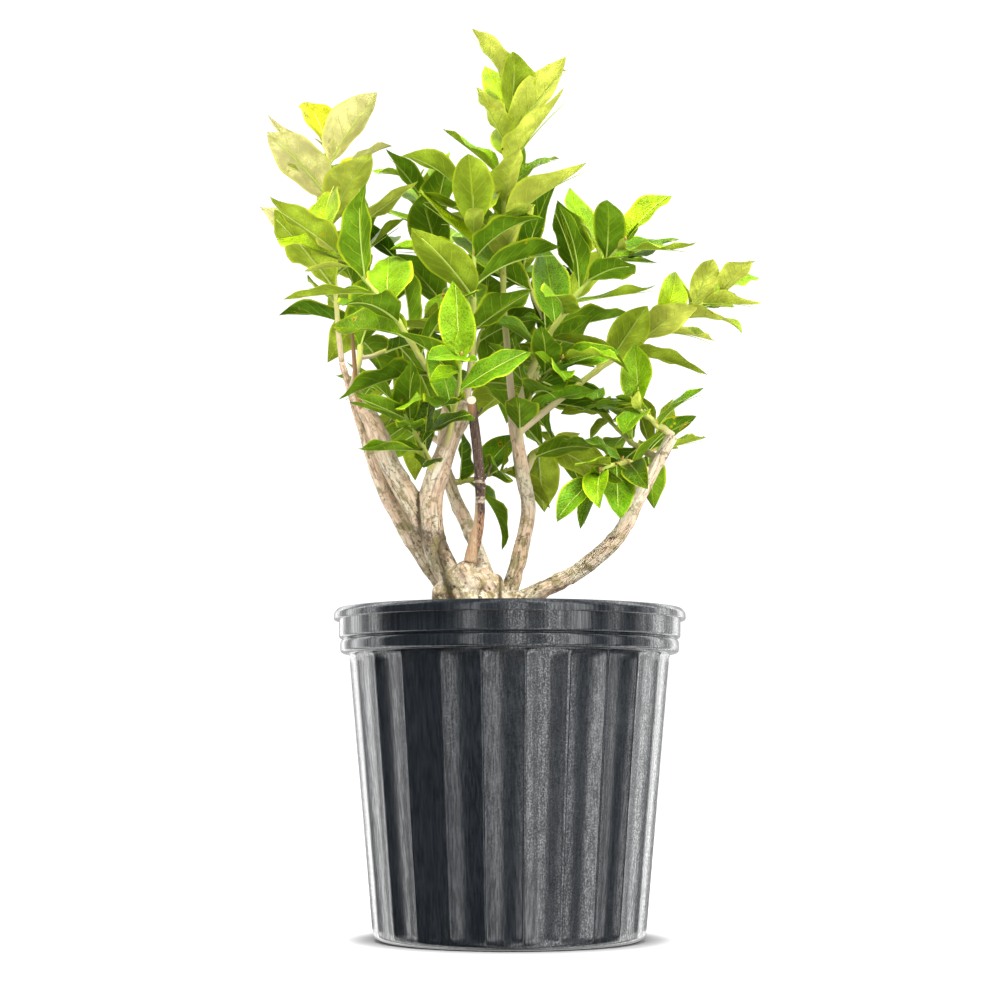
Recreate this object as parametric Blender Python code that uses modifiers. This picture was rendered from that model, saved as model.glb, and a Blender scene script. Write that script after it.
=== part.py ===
"""A blueberry bush in a black nursery pot.

Metres, +Z up. The origin is under the middle of the pot's flat foot, and the front of the bush faces -Y.
Sizes and places are in millimetres, and MM turns them into metres.
"""

import math
import random
from collections import namedtuple

import bmesh
import bpy
import numpy as np
from mathutils.bvhtree import BVHTree

MM = 0.001
GAP = 0.3  # left between two pieces that touch
UP = np.array([0.0, 0.0, 1.0])
FRONT = np.array([0.0, -1.0, 0.0])

# The pot: a blow-moulded shell with a drooping lip, two bands and a tapering wall with broad flutes
LIP_RADIUS = 130.0
LIP_TOP = 241.0
LIP_DROP = 8.0
BAND_RADIUS = 126.0
BAND_FOOT = 208.5
WALL_TOP_RADIUS = 119.0
WALL_FOOT_RADIUS = 100.6
WALL_FOOT = 8.0
CORNER = 6.0
WALL = 1.5
FLOOR = 2.5
FLUTES = 24
FLUTE_DEPTH = 2.2
FLUTE_TURN = -2.2  # degrees from +X to the middle of the first flute
FLUTE_LINES = ((-7.5, 0.0), (-2.5, 0.89), (2.5, 0.89))  # degrees, share of the depth
LIP_BEND = 2.0
BAND_THICK = 3.0
BAND_SHOULDER = 4.0
BAND_GROOVE = ((220.0, 0.3), (218.6, 2.2), (217.2, 1.0))  # height, how far it lies in from the band
DRAIN_HOLES = 8
DRAIN_RADIUS = 5.0
DRAIN_RING = 74.0

# The soil: bark mix that fills the pot to a finger's width under the lip
SOIL_TOP = 219.0
SOIL_FLAT_RADIUS = 75.0
SOIL_FALL = 3.0
SOIL_CLEAR = 0.8  # keeps the round soil out of the flat facets of the wall
SOIL_STEPS = 36

# The limbs: x, y, z and thickness at each knot, from the crown up
LIMBS = {
    "outer_left_stem": (
        (-46, 14, 254, 14.6), (-73, 16, 295, 13.6), (-95, 18, 334, 12.2),
        (-111, 20, 378, 8.2), (-128, 26, 432, 5.4),
    ),
    "left_stem": (
        (-57, -9, 294, 17.0), (-75, -8, 325, 16.6), (-88, -7, 346, 15.6),
        (-101, -2, 378, 14.0), (-118, 5, 408, 8.5),
    ),
    "main_stem": (
        (-43, -6, 262, 19.5), (-58, -10, 299, 19.0), (-58, -14, 323, 18.6),
        (-49, -18, 352, 16.5), (-32, -25, 393, 12.4),
    ),
    "dead_stub": (
        (-29, -20, 275, 9.5), (-22, -28, 308, 7.6), (-22, -33, 335, 7.2),
        (-24, -36, 357, 7.0), (-28, -39, 392, 7.0),
    ),
    "back_stem": (
        (-12, 15, 255, 11.8), (-30, 24, 303, 11.0), (-45, 40, 338, 10.0),
        (-52, 60, 376, 8.4), (-48, 78, 414, 6.4),
    ),
    "middle_stem": (
        (0, 6, 253, 13.2), (9, 8, 288, 12.2), (14, 10, 314, 11.4),
        (8, 12, 354, 10.8), (2, 15, 401, 10.0),
    ),
    "right_stem": (
        (17, -2, 252, 13.4), (50, -3, 269, 12.8), (81, -6, 296, 12.0),
        (96, -8, 324, 11.6), (121, -10, 370, 9.6),
    ),
    "dead_twig": (
        (-109, -1, 386, 4.4), (-114, -5, 402, 3.8), (-116, -5, 423, 3.2), (-118, -5, 449, 2.4),
    ),
}
FORKS = {"left_stem": "main_stem", "dead_twig": "left_stem"}
LIMB_RINGS = 10
LIMB_SIDES = 2

# The root crown: a foot for each limb, and knots of old wood between them
FOOT_SPREAD = 0.62
FOOT_CENTRE = (-20.0, 0.0)
FOOT_SINK = 6.0
FOOT_FLARE = 1.45
FOOT_RINGS = 4
BURL_ROUNDS = 2
BURLS = ((-20, -8, 240, 21), (-33, -12, 252, 14), (-14, -6, 252, 13), (-2, 2, 236, 15))

# The foliage: each shoot grows from a share of a limb, bends over one point and ends at its tip
SHOOT_VALUES = "name limb share bend tip leaves leaf_size first phase turn spread close twigs seed"
Shoot = namedtuple("Shoot", SHOOT_VALUES)
Axis = namedtuple("Axis", "base bend tip leaves first phase")
Leaf = namedtuple("Leaf", "root along up length width droop")
SHOOTS = (
    Shoot("top_left_leaves", "outer_left_stem", 1, (-136, 24, 508), (-140, 33, 596),
          13, 79, 0.29, 186, 151.9, 58, 34, 0, 1757),
    Shoot("arch_left_leaves", "main_stem", 0.86, (-74, -62, 452), (-132, -63, 504),
          11, 76, 0.14, 144, 140.5, 53, 38, 0, 3800),
    Shoot("centre_left_leaves", "main_stem", 1, (-22, -41, 461), (-28, -32, 541),
          11, 79, 0.29, 248, 148.7, 57, 46, 0, 2597),
    Shoot("leader_leaves", "middle_stem", 1, (-12, -3, 519), (3, -17, 627),
          17, 75, 0.39, 231, 138.2, 58, 32, 0, 3206),
    Shoot("right_fore_leaves", "middle_stem", 0.9, (27, -14, 461), (85, -50, 508),
          12, 70, 0.26, 162, 136.1, 74, 33, 0, 1604),
    Shoot("far_right_leaves", "middle_stem", 0.82, (87, 36, 447), (161, 17, 483),
          13, 61, 0.38, 194, 131.6, 51, 28, 0, 2296),
    Shoot("right_up_leaves", "right_stem", 1, (109, -19, 376), (92, -20, 393),
          6, 60, 0.23, 256, 149.2, 84, 40, 0, 249),
    Shoot("right_in_leaves", "right_stem", 0.8, (81, -19, 358), (63, -48, 334),
          8, 56, 0.25, 195, 145.8, 80, 16, 0, 3563),
    Shoot("mid_right_leaves", "middle_stem", 0.74, (7, -5, 405), (38, -44, 420),
          8, 63, 0.17, 351, 128.4, 50, 22, 0, 3626),
    Shoot("mid_left_leaves", "main_stem", 0.55, (-59, -24, 353), (-77, -68, 379),
          9, 58, 0.32, 15, 139.0, 53, 23, 0, 1239),
    Shoot("behind_stub_leaves", "back_stem", 0.55, (-39, 41, 338), (6, 33, 352),
          7, 60, 0.16, 182, 137.5, 79, 36, 0, 76),
    Shoot("back_left_leaves", "left_stem", 1, (-112, 47, 452), (-117, 107, 513),
          11, 69, 0.40, 13, 135.2, 81, 24, 1, 3548),
    Shoot("back_mid_leaves", "back_stem", 1, (-45, 104, 513), (-72, 114, 594),
          13, 66, 0.24, 44, 136.0, 68, 28, 2, 2888),
    Shoot("back_right_leaves", "middle_stem", 0.86, (28, 83, 459), (65, 99, 534),
          12, 75, 0.12, 101, 143.1, 54, 41, 2, 812),
    Shoot("back_low_leaves", "back_stem", 0.9, (-28, 110, 447), (5, 158, 463),
          9, 66, 0.22, 264, 147.0, 64, 32, 1, 479),
    Shoot("back_out_leaves", "back_stem", 0.75, (-91, 105, 404), (-105, 133, 437),
          9, 58, 0.23, 114, 148.5, 58, 44, 1, 2318),
    Shoot("front_low_leaves", "main_stem", 0.66, (-37, -48, 394), (-35, -94, 414),
          7, 71, 0.37, 211, 137.7, 84, 35, 0, 1963),
    Shoot("right_back_leaves", "right_stem", 0.88, (90, 24, 367), (70, 74, 405),
          8, 54, 0.19, 110, 151.2, 72, 24, 1, 3926),
    Shoot("mid_back_leaves", "middle_stem", 0.6, (25, 39, 376), (37, 87, 379),
          7, 67, 0.29, 32, 126.2, 77, 40, 0, 689),
)
SHOOT_THICK = 6.0
SHOOT_TIP_THICK = 2.0
SHOOT_SHARE = 0.85  # of the thickness of the limb that carries it
SHOOT_RINGS = 7
TWIG_RINGS = 4
TWIG_THICK = 0.6
TWIG_LEAVES = 5
TWIG_FIRST = 0.3  # share of the shoot at which its first side twig leaves
TWIG_STEP = 0.22
TWIG_PHASE = 70.0
TWIG_TURN = 137.0
TWIG_SWAY = 20.0
TWIG_LEAN = 0.55
TWIG_REACH = (0.42, 0.55)  # shares of the shoot's reach
TWIG_BEND = 0.55
TWIG_END = 0.5
TWIG_RISE = 0.9
TWIG_LEAF_FIRST = 0.35
TWIG_LEAF_TURN = 200.0
LEAF_CROWDING = 0.92  # below 1, the leaves lie wider apart at the foot of a shoot
LEAF_SWAY = 16.0
LEAF_LIFT = 11.0
LEAF_ROLL = 24.0
LEAF_SMALLEST = 0.62  # a leaf's size follows half a sine wave along the shoot, from this share up to 1
LEAF_GROWTH = (0.12, 0.72)
LEAF_SCATTER = 0.13
LEAF_WIDTH = 0.47
LEAF_WIDTH_SCATTER = 0.06
LEAF_DROOP = 26.0
LEAF_DROOP_SCATTER = 22.0
LEAF_FACE = (0.6, 0.8)  # its face turns this much along the shoot and this much upwards
TRIES = (  # degrees round the shoot and away from it
    (0, 0), (13, 0), (-13, 0), (0, 12), (0, -12), (26, 0),
    (-26, 0), (15, 12), (-15, 12), (40, -8), (-40, -8),
)
LEAF_FOLD = math.radians(22)
LEAF_THICK = 1.3
STALK_WIDTH = 2.4
LEAF_STATIONS = ((0.38, 0.98), (0.72, 0.66))  # share of the length, and of the full half width there
LEAF_CLEAR = 0.5  # kept all round a leaf when it is tried against others
BLADE_START = 0.2  # leaves of one shoot may cross nearer to their stalks than this

# Colours
POT_BLACK = (0.030, 0.034, 0.040)
SOIL_BROWN = (0.060, 0.034, 0.020)
BARK = (0.46, 0.36, 0.26)
DEAD_WOOD = (0.11, 0.065, 0.055)
LEAF_GREEN = (0.13, 0.32, 0.035)


def unit(vector):
    return vector / max(np.linalg.norm(vector), 1e-9)


def limb_at(name, share):
    """Place and thickness at a share of a limb: a cubic through its knots, timed by their distances."""
    knots = np.array(LIMBS[name], float)
    steps = np.linalg.norm(np.diff(knots[:, :3], axis=0), axis=1)
    clock = np.concatenate([[0.0], np.cumsum(steps)]) / steps.sum()
    slope = np.gradient(knots, clock, axis=0)
    i = min(int(np.searchsorted(clock, share, side="right")) - 1, len(clock) - 2)
    span = clock[i + 1] - clock[i]
    s = (share - clock[i]) / span
    return (
        (2 * s**3 - 3 * s**2 + 1) * knots[i]
        + (s**3 - 2 * s**2 + s) * span * slope[i]
        + (3 * s**2 - 2 * s**3) * knots[i + 1]
        + (s**3 - s**2) * span * slope[i + 1]
    )


def limb_way(name, share):
    """The direction in which a limb runs at a share of its length."""
    before, after = max(share - 0.02, 0), min(share + 0.02, 1)
    return unit((limb_at(name, after) - limb_at(name, before))[:3])


def axis_point(axis, t):
    """A point on the quadratic curve from base to tip, drawn towards bend."""
    return (1 - t) ** 2 * axis.base + 2 * t * (1 - t) * axis.bend + t**2 * axis.tip


def axis_way(axis, t):
    return unit((1 - t) * (axis.bend - axis.base) + t * (axis.tip - axis.bend))


def around(way, degrees):
    """The direction square to way, at an angle counted from the front."""
    front = unit(FRONT - (FRONT @ way) * way)
    angle = math.radians(degrees)
    return math.cos(angle) * front + math.sin(angle) * np.cross(way, front)


def axes_of(shoot):
    """The shoot's own axis, then its side twigs, which leave it in turn and bend upwards."""
    rnd = random.Random(shoot.seed + 5000)
    base = limb_at(shoot.limb, shoot.share)[:3]
    bend, tip = np.array(shoot.bend, float), np.array(shoot.tip, float)
    main = Axis(base, bend, tip, shoot.leaves, shoot.first, shoot.phase)
    axes = [main]
    reach = np.linalg.norm(main.tip - main.base)
    for k in range(shoot.twigs):
        t = TWIG_FIRST + TWIG_STEP * k
        way = axis_way(main, t)
        turn = shoot.phase + TWIG_PHASE + TWIG_TURN * k + rnd.uniform(-TWIG_SWAY, TWIG_SWAY)
        out = unit(TWIG_LEAN * way + around(way, turn))
        start = axis_point(main, t)
        length = reach * rnd.uniform(*TWIG_REACH)
        bend = start + TWIG_BEND * length * out
        tip = bend + TWIG_END * length * unit(out + TWIG_RISE * UP)
        axes.append(Axis(start, bend, tip, TWIG_LEAVES, TWIG_LEAF_FIRST, shoot.phase + TWIG_LEAF_TURN * k))
    return axes


def leaves_of(shoot, axis, number):
    """Each leaf of one axis, as a list of tries: first the rule's own place, then places swung aside."""
    rnd = random.Random(shoot.seed + 97 * number)
    for i in range(axis.leaves):
        t = axis.first + (1 - axis.first) * (i / (axis.leaves - 1)) ** LEAF_CROWDING
        turn, lift, size, roll, broad, curl = [rnd.uniform(-1, 1) for _ in range(6)]
        way = axis_way(axis, min(t, 0.999))
        grown = math.sin(math.pi * (LEAF_GROWTH[0] + LEAF_GROWTH[1] * t))
        length = shoot.leaf_size * (LEAF_SMALLEST + (1 - LEAF_SMALLEST) * grown) * (1 + LEAF_SCATTER * size)
        width = length * (LEAF_WIDTH + LEAF_WIDTH_SCATTER * broad)
        droop = math.radians(LEAF_DROOP + LEAF_DROOP_SCATTER * curl)
        tilt = math.radians(LEAF_ROLL * roll)
        tries = []
        for swing, raised in TRIES:
            side = around(way, axis.phase + shoot.turn * i + LEAF_SWAY * turn + swing)
            opening = shoot.spread + (shoot.close - shoot.spread) * t
            pitch = math.radians(opening + LEAF_LIFT * lift + raised)
            along = unit(math.cos(pitch) * way + math.sin(pitch) * side)
            face = LEAF_FACE[0] * way + LEAF_FACE[1] * UP
            up = unit(face - (face @ along) * along + 1e-3 * way)
            up = math.cos(tilt) * up + math.sin(tilt) * np.cross(along, up)
            up = unit(up - (up @ along) * along)
            tries.append(Leaf(axis_point(axis, t), along, up, length, width, droop))
        yield tries


def leaf_section(leaf, s, half, thick):
    """Four corners across a leaf: its midrib is an arc that bends by droop, its halves rise by the fold."""
    angle = leaf.droop * s
    run = leaf.length / leaf.droop
    middle = leaf.root + run * (math.sin(angle) * leaf.along - (1 - math.cos(angle)) * leaf.up)
    up = math.cos(angle) * leaf.up + math.sin(angle) * leaf.along
    across = np.cross(leaf.along, leaf.up)
    rise = half * math.sin(LEAF_FOLD) * up
    reach = half * math.cos(LEAF_FOLD) * across
    return [middle - reach + rise, middle - thick / 2 * up, middle + reach + rise, middle + thick / 2 * up]


def leaf_shape(leaf, extra=0.0, start=0.0):
    """Corners and faces of one thin folded leaf from its stalk to its tip, swollen by extra."""
    first = STALK_WIDTH / 2 if start == 0 else leaf.width / 2 * start / LEAF_STATIONS[0][0]
    stations = [(start, first), *((s, share * leaf.width / 2) for s, share in LEAF_STATIONS)]
    corners = []
    for s, half in stations:
        corners += leaf_section(leaf, s, half + extra, LEAF_THICK + 2 * extra)
    corners.append(leaf_section(leaf, 1.0 + extra / leaf.length, 0.0, 0.0)[0])
    faces = [(0, 3, 1), (1, 3, 2)]
    for ring in range(len(stations) - 1):
        for k in range(4):
            a, b = 4 * ring + k, 4 * ring + (k + 1) % 4
            faces += [(a, b, b + 4), (a, b + 4, a + 4)]
    last = 4 * (len(stations) - 1)
    faces += [(last + k, last + (k + 1) % 4, len(corners) - 1) for k in range(4)]
    return corners, faces


def mesh_object(name, corners, faces):
    """A mesh object from corners in millimetres, linked to the part's collection."""
    mesh = bpy.data.meshes.new(name)
    mesh.from_pydata([tuple(np.array(c) * MM) for c in corners], [], faces)
    made = bmesh.new()
    made.from_mesh(mesh)
    bmesh.ops.recalc_face_normals(made, faces=made.faces)
    made.to_mesh(mesh)
    made.free()
    obj = bpy.data.objects.new(name, mesh)
    PARTS.objects.link(obj)
    return obj


def evaluated_mesh(obj):
    """The object's shape with its modifiers, as a new mesh."""
    bpy.context.view_layer.update()
    graph = bpy.context.evaluated_depsgraph_get()
    return bpy.data.meshes.new_from_object(obj.evaluated_get(graph))


def drop(objects):
    for obj in objects:
        bpy.data.objects.remove(obj)


def set_aside(obj):
    """Takes a helper out of every collection, until a Boolean uses it."""
    for collection in list(obj.users_collection):
        collection.objects.unlink(obj)


def tube(name, points, thickness, sides):
    """A round rod through the points, as thick as stated at each, with flat ends."""
    curve = bpy.data.curves.new(name, "CURVE")
    curve.dimensions = "3D"
    curve.twist_mode = "MINIMUM"
    curve.bevel_depth = MM / 2
    curve.bevel_resolution = sides
    curve.use_fill_caps = True
    spline = curve.splines.new("POLY")
    spline.points.add(len(points) - 1)
    for knot, point, thick in zip(spline.points, points, thickness):
        knot.co = (*(np.array(point) * MM), 1)
        knot.radius = thick
    holder = bpy.data.objects.new(name + "_line", curve)
    PARTS.objects.link(holder)
    mesh = evaluated_mesh(holder)
    drop([holder])
    made = bmesh.new()
    made.from_mesh(mesh)
    bmesh.ops.remove_doubles(made, verts=made.verts, dist=1e-6)
    bmesh.ops.recalc_face_normals(made, faces=made.faces)
    made.to_mesh(mesh)
    made.free()
    obj = bpy.data.objects.new(name, mesh)
    PARTS.objects.link(obj)
    return obj


def turned(name, profile, steps):
    """A solid turned about the Z axis from a profile of radius and height that ends on the axis."""
    mesh = bpy.data.meshes.new(name)
    edges = [(i, i + 1) for i in range(len(profile) - 1)]
    mesh.from_pydata([(r * MM, 0, z * MM) for r, z in profile], edges, [])
    obj = bpy.data.objects.new(name, mesh)
    PARTS.objects.link(obj)
    screw = obj.modifiers.new("turn", "SCREW")
    screw.steps = screw.render_steps = steps
    screw.use_merge_vertices = True
    screw.merge_threshold = 1e-5
    applied = evaluated_mesh(obj)
    obj.modifiers.clear()
    obj.data = applied
    return obj


def islands(made):
    """The connected pieces of a mesh, each as its list of faces."""
    waiting = set(made.faces)
    while waiting:
        found, edge = [], [waiting.pop()]
        while edge:
            face = edge.pop()
            found.append(face)
            near = {other for e in face.edges for other in e.link_faces} & waiting
            waiting -= near
            edge += near
        yield found


def volume(faces):
    """Six times the volume that triangles enclose."""
    return sum(f.verts[0].co @ f.verts[1].co.cross(f.verts[2].co) for f in faces)


def keep_outer_body(mesh):
    """Fills a sealed hollow and drops a loose scrap: only the piece of the largest volume stays."""
    made = bmesh.new()
    made.from_mesh(mesh)
    bmesh.ops.triangulate(made, faces=made.faces)
    for faces in sorted(islands(made), key=volume)[:-1]:
        bmesh.ops.delete(made, geom=faces, context="FACES")
    made.to_mesh(mesh)
    made.free()


def combined(obj, others, operation):
    """Joins the others to the object, or cuts them from it, and removes them."""
    helpers = bpy.data.collections.new(obj.name + "_helpers")
    bpy.context.scene.collection.children.link(helpers)
    for other in others:
        helpers.objects.link(other)
    change = obj.modifiers.new("change", "BOOLEAN")
    change.operation = operation
    change.operand_type = "COLLECTION"
    change.collection = helpers
    change.solver = "EXACT"
    mesh = evaluated_mesh(obj)
    obj.modifiers.clear()
    obj.data = mesh
    drop(others)
    bpy.data.collections.remove(helpers)
    keep_outer_body(mesh)
    return obj


def finish(obj, colour, roughness):
    """Gives a piece its own plain material, smooth where it is round."""
    material = bpy.data.materials.new(obj.name + "_finish")
    material.use_nodes = True
    shader = material.node_tree.nodes["Principled BSDF"]
    shader.inputs["Base Color"].default_value = (*colour, 1)
    shader.inputs["Roughness"].default_value = roughness
    shader.inputs["Metallic"].default_value = 0.0
    obj.data.materials.clear()
    obj.data.materials.append(material)
    obj.data.shade_smooth()
    obj.data.set_sharp_from_angle(angle=math.radians(40))


def wall_radius(z):
    """Outer radius of the fluted wall's raised panels at a height."""
    share = (z - WALL_FOOT) / (BAND_FOOT - WALL_FOOT)
    return WALL_FOOT_RADIUS + share * (WALL_TOP_RADIUS - WALL_FOOT_RADIUS)


def inner_profile(clear):
    """Radius and height down the inside of the pot from the lip to the floor, drawn in by clear."""
    depth = FLUTE_DEPTH + WALL + clear
    band = BAND_RADIUS - BAND_THICK - clear
    return [
        (band, LIP_TOP - 1.0),
        (band, BAND_FOOT + BAND_SHOULDER + clear),
        (wall_radius(BAND_FOOT) - depth, BAND_FOOT - 1.5),
        (wall_radius(FLOOR) - depth, FLOOR + min(clear, GAP)),
    ]


def make_pot():
    lip_foot = LIP_TOP - LIP_DROP
    flute_top = BAND_FOOT - BAND_SHOULDER
    outer = [
        (LIP_RADIUS - LIP_BEND, LIP_TOP),
        (LIP_RADIUS, LIP_TOP - LIP_BEND),
        (LIP_RADIUS, lip_foot + 0.6),
        (BAND_RADIUS, lip_foot),
        *[(BAND_RADIUS - inward, height) for height, inward in BAND_GROOVE],
        (BAND_RADIUS - 1.2, BAND_FOOT + 1.0),
        (WALL_TOP_RADIUS, BAND_FOOT - 0.6),
        (wall_radius(flute_top), flute_top),
        (WALL_FOOT_RADIUS, WALL_FOOT),
        (WALL_FOOT_RADIUS - 0.3 * CORNER, 0.35 * CORNER),
        (WALL_FOOT_RADIUS - CORNER, 0.0),
        (0.0, 0.0),
    ]
    inside = inner_profile(0.0)[::-1]
    pot = turned("pot", [(0.0, FLOOR), *inside, *outer], FLUTES * len(FLUTE_LINES))
    press_flutes(pot.data)
    holes = [drain_hole(k) for k in range(DRAIN_HOLES)]
    combined(pot, holes, "DIFFERENCE")
    finish(pot, POT_BLACK, 0.42)


def press_flutes(mesh):
    """Draws each flute's lines together and presses its bottom into the outer wall."""
    step = 360 / (FLUTES * len(FLUTE_LINES))
    for vertex in mesh.vertices:
        radius = math.hypot(vertex.co.x, vertex.co.y)
        if radius < MM:
            continue
        count = round(math.degrees(math.atan2(vertex.co.y, vertex.co.x)) / step)
        flute, line = divmod(count, len(FLUTE_LINES))
        degrees, share = FLUTE_LINES[line]
        angle = math.radians(FLUTE_TURN + flute * 360 / FLUTES + degrees)
        z = vertex.co.z / MM
        if WALL_FOOT - 1 < z < BAND_FOOT - 2 and radius / MM > wall_radius(z) - 1:
            radius -= share * FLUTE_DEPTH * MM
        vertex.co.x = radius * math.cos(angle)
        vertex.co.y = radius * math.sin(angle)


def drain_hole(k):
    angle = 2 * math.pi * (k + 0.5) / DRAIN_HOLES
    bpy.ops.mesh.primitive_cylinder_add(
        vertices=8,
        radius=DRAIN_RADIUS * MM,
        depth=4 * FLOOR * MM,
        location=(DRAIN_RING * MM * math.cos(angle), DRAIN_RING * MM * math.sin(angle), 0),
    )
    hole = bpy.context.object
    set_aside(hole)
    return hole


def make_soil():
    side = inner_profile(SOIL_CLEAR)[1:]
    edge = (side[0][0], SOIL_TOP - SOIL_FALL)
    profile = [(0.0, SOIL_TOP), (SOIL_FLAT_RADIUS, SOIL_TOP), edge, *side, (0.0, FLOOR + GAP)]
    finish(turned("soil", profile, SOIL_STEPS), SOIL_BROWN, 0.95)


def limb_tube(name, swell=0.0):
    """A limb's rod from its first knot to its tip, swollen on all sides by swell."""
    shares = np.linspace(0, 1, LIMB_RINGS)
    knots = np.array([limb_at(name, share) for share in shares])
    points = knots[:, :3]
    points[0] -= swell * limb_way(name, 0)
    points[-1] += swell * limb_way(name, 1)
    return tube(name, points, knots[:, 3] + 2 * swell, LIMB_SIDES)


def foot(name, swell):
    """The flared root of one limb, from under the soil's surface up to the limb's first knot."""
    top = np.array(LIMBS[name][0], float)
    way = limb_way(name, 0)
    heart = np.array([*FOOT_CENTRE, SOIL_TOP - FOOT_SINK])
    low = np.array([*(heart[:2] + FOOT_SPREAD * (top[:2] - heart[:2])), heart[2]])
    bend = top[:3] - 0.5 * (top[2] - low[2]) * way
    axis = Axis(low, bend, top[:3], 0, 0, 0)
    shares = np.linspace(0, 1, FOOT_RINGS)
    points = [axis_point(axis, t) for t in shares]
    points[-1] += swell * way
    thickness = top[3] * (FOOT_FLARE + (1 - FOOT_FLARE) * shares) + 2 * swell
    return tube(name + "_foot", points, thickness, LIMB_SIDES)


def burl(number, x, y, z, radius):
    place = (x * MM, y * MM, z * MM)
    bpy.ops.mesh.primitive_ico_sphere_add(subdivisions=BURL_ROUNDS, radius=radius * MM, location=place)
    lump = bpy.context.object
    lump.name = f"burl_{number}"
    set_aside(lump)
    return lump


def crown_body(swell):
    """The feet and the burls fused into one body, swollen on all sides by swell."""
    feet = [foot(name, swell) for name in LIMBS if name not in FORKS]
    burls = [burl(number, x, y, z, radius + swell) for number, (x, y, z, radius) in enumerate(BURLS)]
    return combined(feet[0], feet[1:] + burls, "UNION")


def make_root_crown():
    crown = crown_body(0.0)
    crown.name = "root_crown"
    side = 2 * LIP_RADIUS * MM
    bpy.ops.mesh.primitive_cube_add(size=side, location=(0, 0, (SOIL_TOP + GAP) * MM - side / 2))
    below = bpy.context.object
    set_aside(below)
    combined(crown, [below], "DIFFERENCE")
    finish(crown, BARK, 0.85)


def make_limbs():
    for name in LIMBS:
        limb = limb_tube(name)
        seat = limb_tube(FORKS[name], GAP) if name in FORKS else crown_body(GAP)
        combined(limb, [seat], "DIFFERENCE")
        limb.name = name
        finish(limb, DEAD_WOOD if name.startswith("dead") else BARK, 0.85)


def rod(shoot, axis, number):
    """The round stem of a shoot, or one of its side twigs."""
    thick = min(SHOOT_THICK, SHOOT_SHARE * limb_at(shoot.limb, shoot.share)[3])
    if number:
        thick *= TWIG_THICK
    shares = np.linspace(0, 1, TWIG_RINGS if number else SHOOT_RINGS)
    points = [axis_point(axis, t) for t in shares]
    return tube(shoot.name, points, thick + (SHOOT_TIP_THICK - thick) * shares, 0)


def tree_of(obj):
    """The object's faces in the form that tests whether shapes cross."""
    corners = [tuple(v.co) for v in obj.data.vertices]
    return BVHTree.FromPolygons(corners, [tuple(p.vertices) for p in obj.data.polygons])


def leaf_tree(leaf, start=0.0):
    corners, faces = leaf_shape(leaf, LEAF_CLEAR, start)
    return BVHTree.FromPolygons([tuple(c * MM) for c in corners], faces)


class Growth:
    """What has grown so far: whatever comes next keeps clear of it."""

    def __init__(self, limbs):
        self.limbs = [tree_of(limb) for limb in limbs]
        self.rods = []
        self.leaves = []

    def rod_is_free(self, tree, shoot):
        others = [other for owner, other in self.rods if owner != shoot.name]
        return not any(tree.overlap(other) for other in self.limbs + others)

    def leaf_is_free(self, leaf, shoot):
        whole, blade = leaf_tree(leaf), leaf_tree(leaf, BLADE_START)
        others = [tree for owner, tree in self.rods + self.leaves if owner != shoot.name]
        own = [tree for owner, tree in self.leaves if owner == shoot.name]
        met = [(whole, self.limbs + others), (blade, own)]
        if any(shape.overlap(tree) for shape, trees in met for tree in trees):
            return False
        self.leaves.append((shoot.name, whole))
        return True


def grow_rods(shoots, growth):
    """Each shoot's stem and those of its side twigs that cross nothing: pairs of axis number and rod."""
    rods = {}
    for shoot in shoots:
        stem = rod(shoot, axes_of(shoot)[0], 0)
        growth.rods.append((shoot.name, tree_of(stem)))
        rods[shoot.name] = [(0, stem)]
    for shoot in shoots:
        for number, axis in enumerate(axes_of(shoot)[1:], 1):
            twig = rod(shoot, axis, number)
            if growth.rod_is_free(tree_of(twig), shoot):
                growth.rods.append((shoot.name, tree_of(twig)))
                rods[shoot.name].append((number, twig))
            else:
                drop([twig])
    return rods


def grow_leaves(shoots, rods, growth):
    """For each leaf, the first of its tries that crosses nothing. A leaf with no such place is skipped."""
    leaves = {}
    for shoot in shoots:
        leaves[shoot.name] = []
        for number, _ in rods[shoot.name]:
            for tries in leaves_of(shoot, axes_of(shoot)[number], number):
                free = next((leaf for leaf in tries if growth.leaf_is_free(leaf, shoot)), None)
                if free:
                    leaves[shoot.name].append(free)
    return leaves


def make_foliage():
    growth = Growth(list(PARTS.objects))
    rods = grow_rods(SHOOTS, growth)
    leaves = grow_leaves(SHOOTS, rods, growth)
    for shoot in SHOOTS:
        blades = [mesh_object(f"{shoot.name}_leaf", *leaf_shape(leaf)) for leaf in leaves[shoot.name]]
        mass, *twigs = [stem for _, stem in rods[shoot.name]]
        combined(mass, twigs + blades, "UNION")
        combined(mass, [limb_tube(shoot.limb, GAP)], "DIFFERENCE")
        mass.name = shoot.name
        finish(mass, LEAF_GREEN, 0.5)


for old in list(bpy.data.objects):
    bpy.data.objects.remove(old)
PARTS = bpy.data.collections.new("blueberry_bush")
bpy.context.scene.collection.children.link(PARTS)
make_pot()
make_soil()
make_root_crown()
make_limbs()
make_foliage()
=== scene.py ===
"""The looks of a blueberry bush in a black nursery pot.

Shapes and the attributes on them are worked out in millimetres, and MM turns the shapes into metres as their
meshes are made. The view, the lights and the object coordinates that the finishes use are in metres.
"""

import math
import random
from collections import namedtuple

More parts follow.
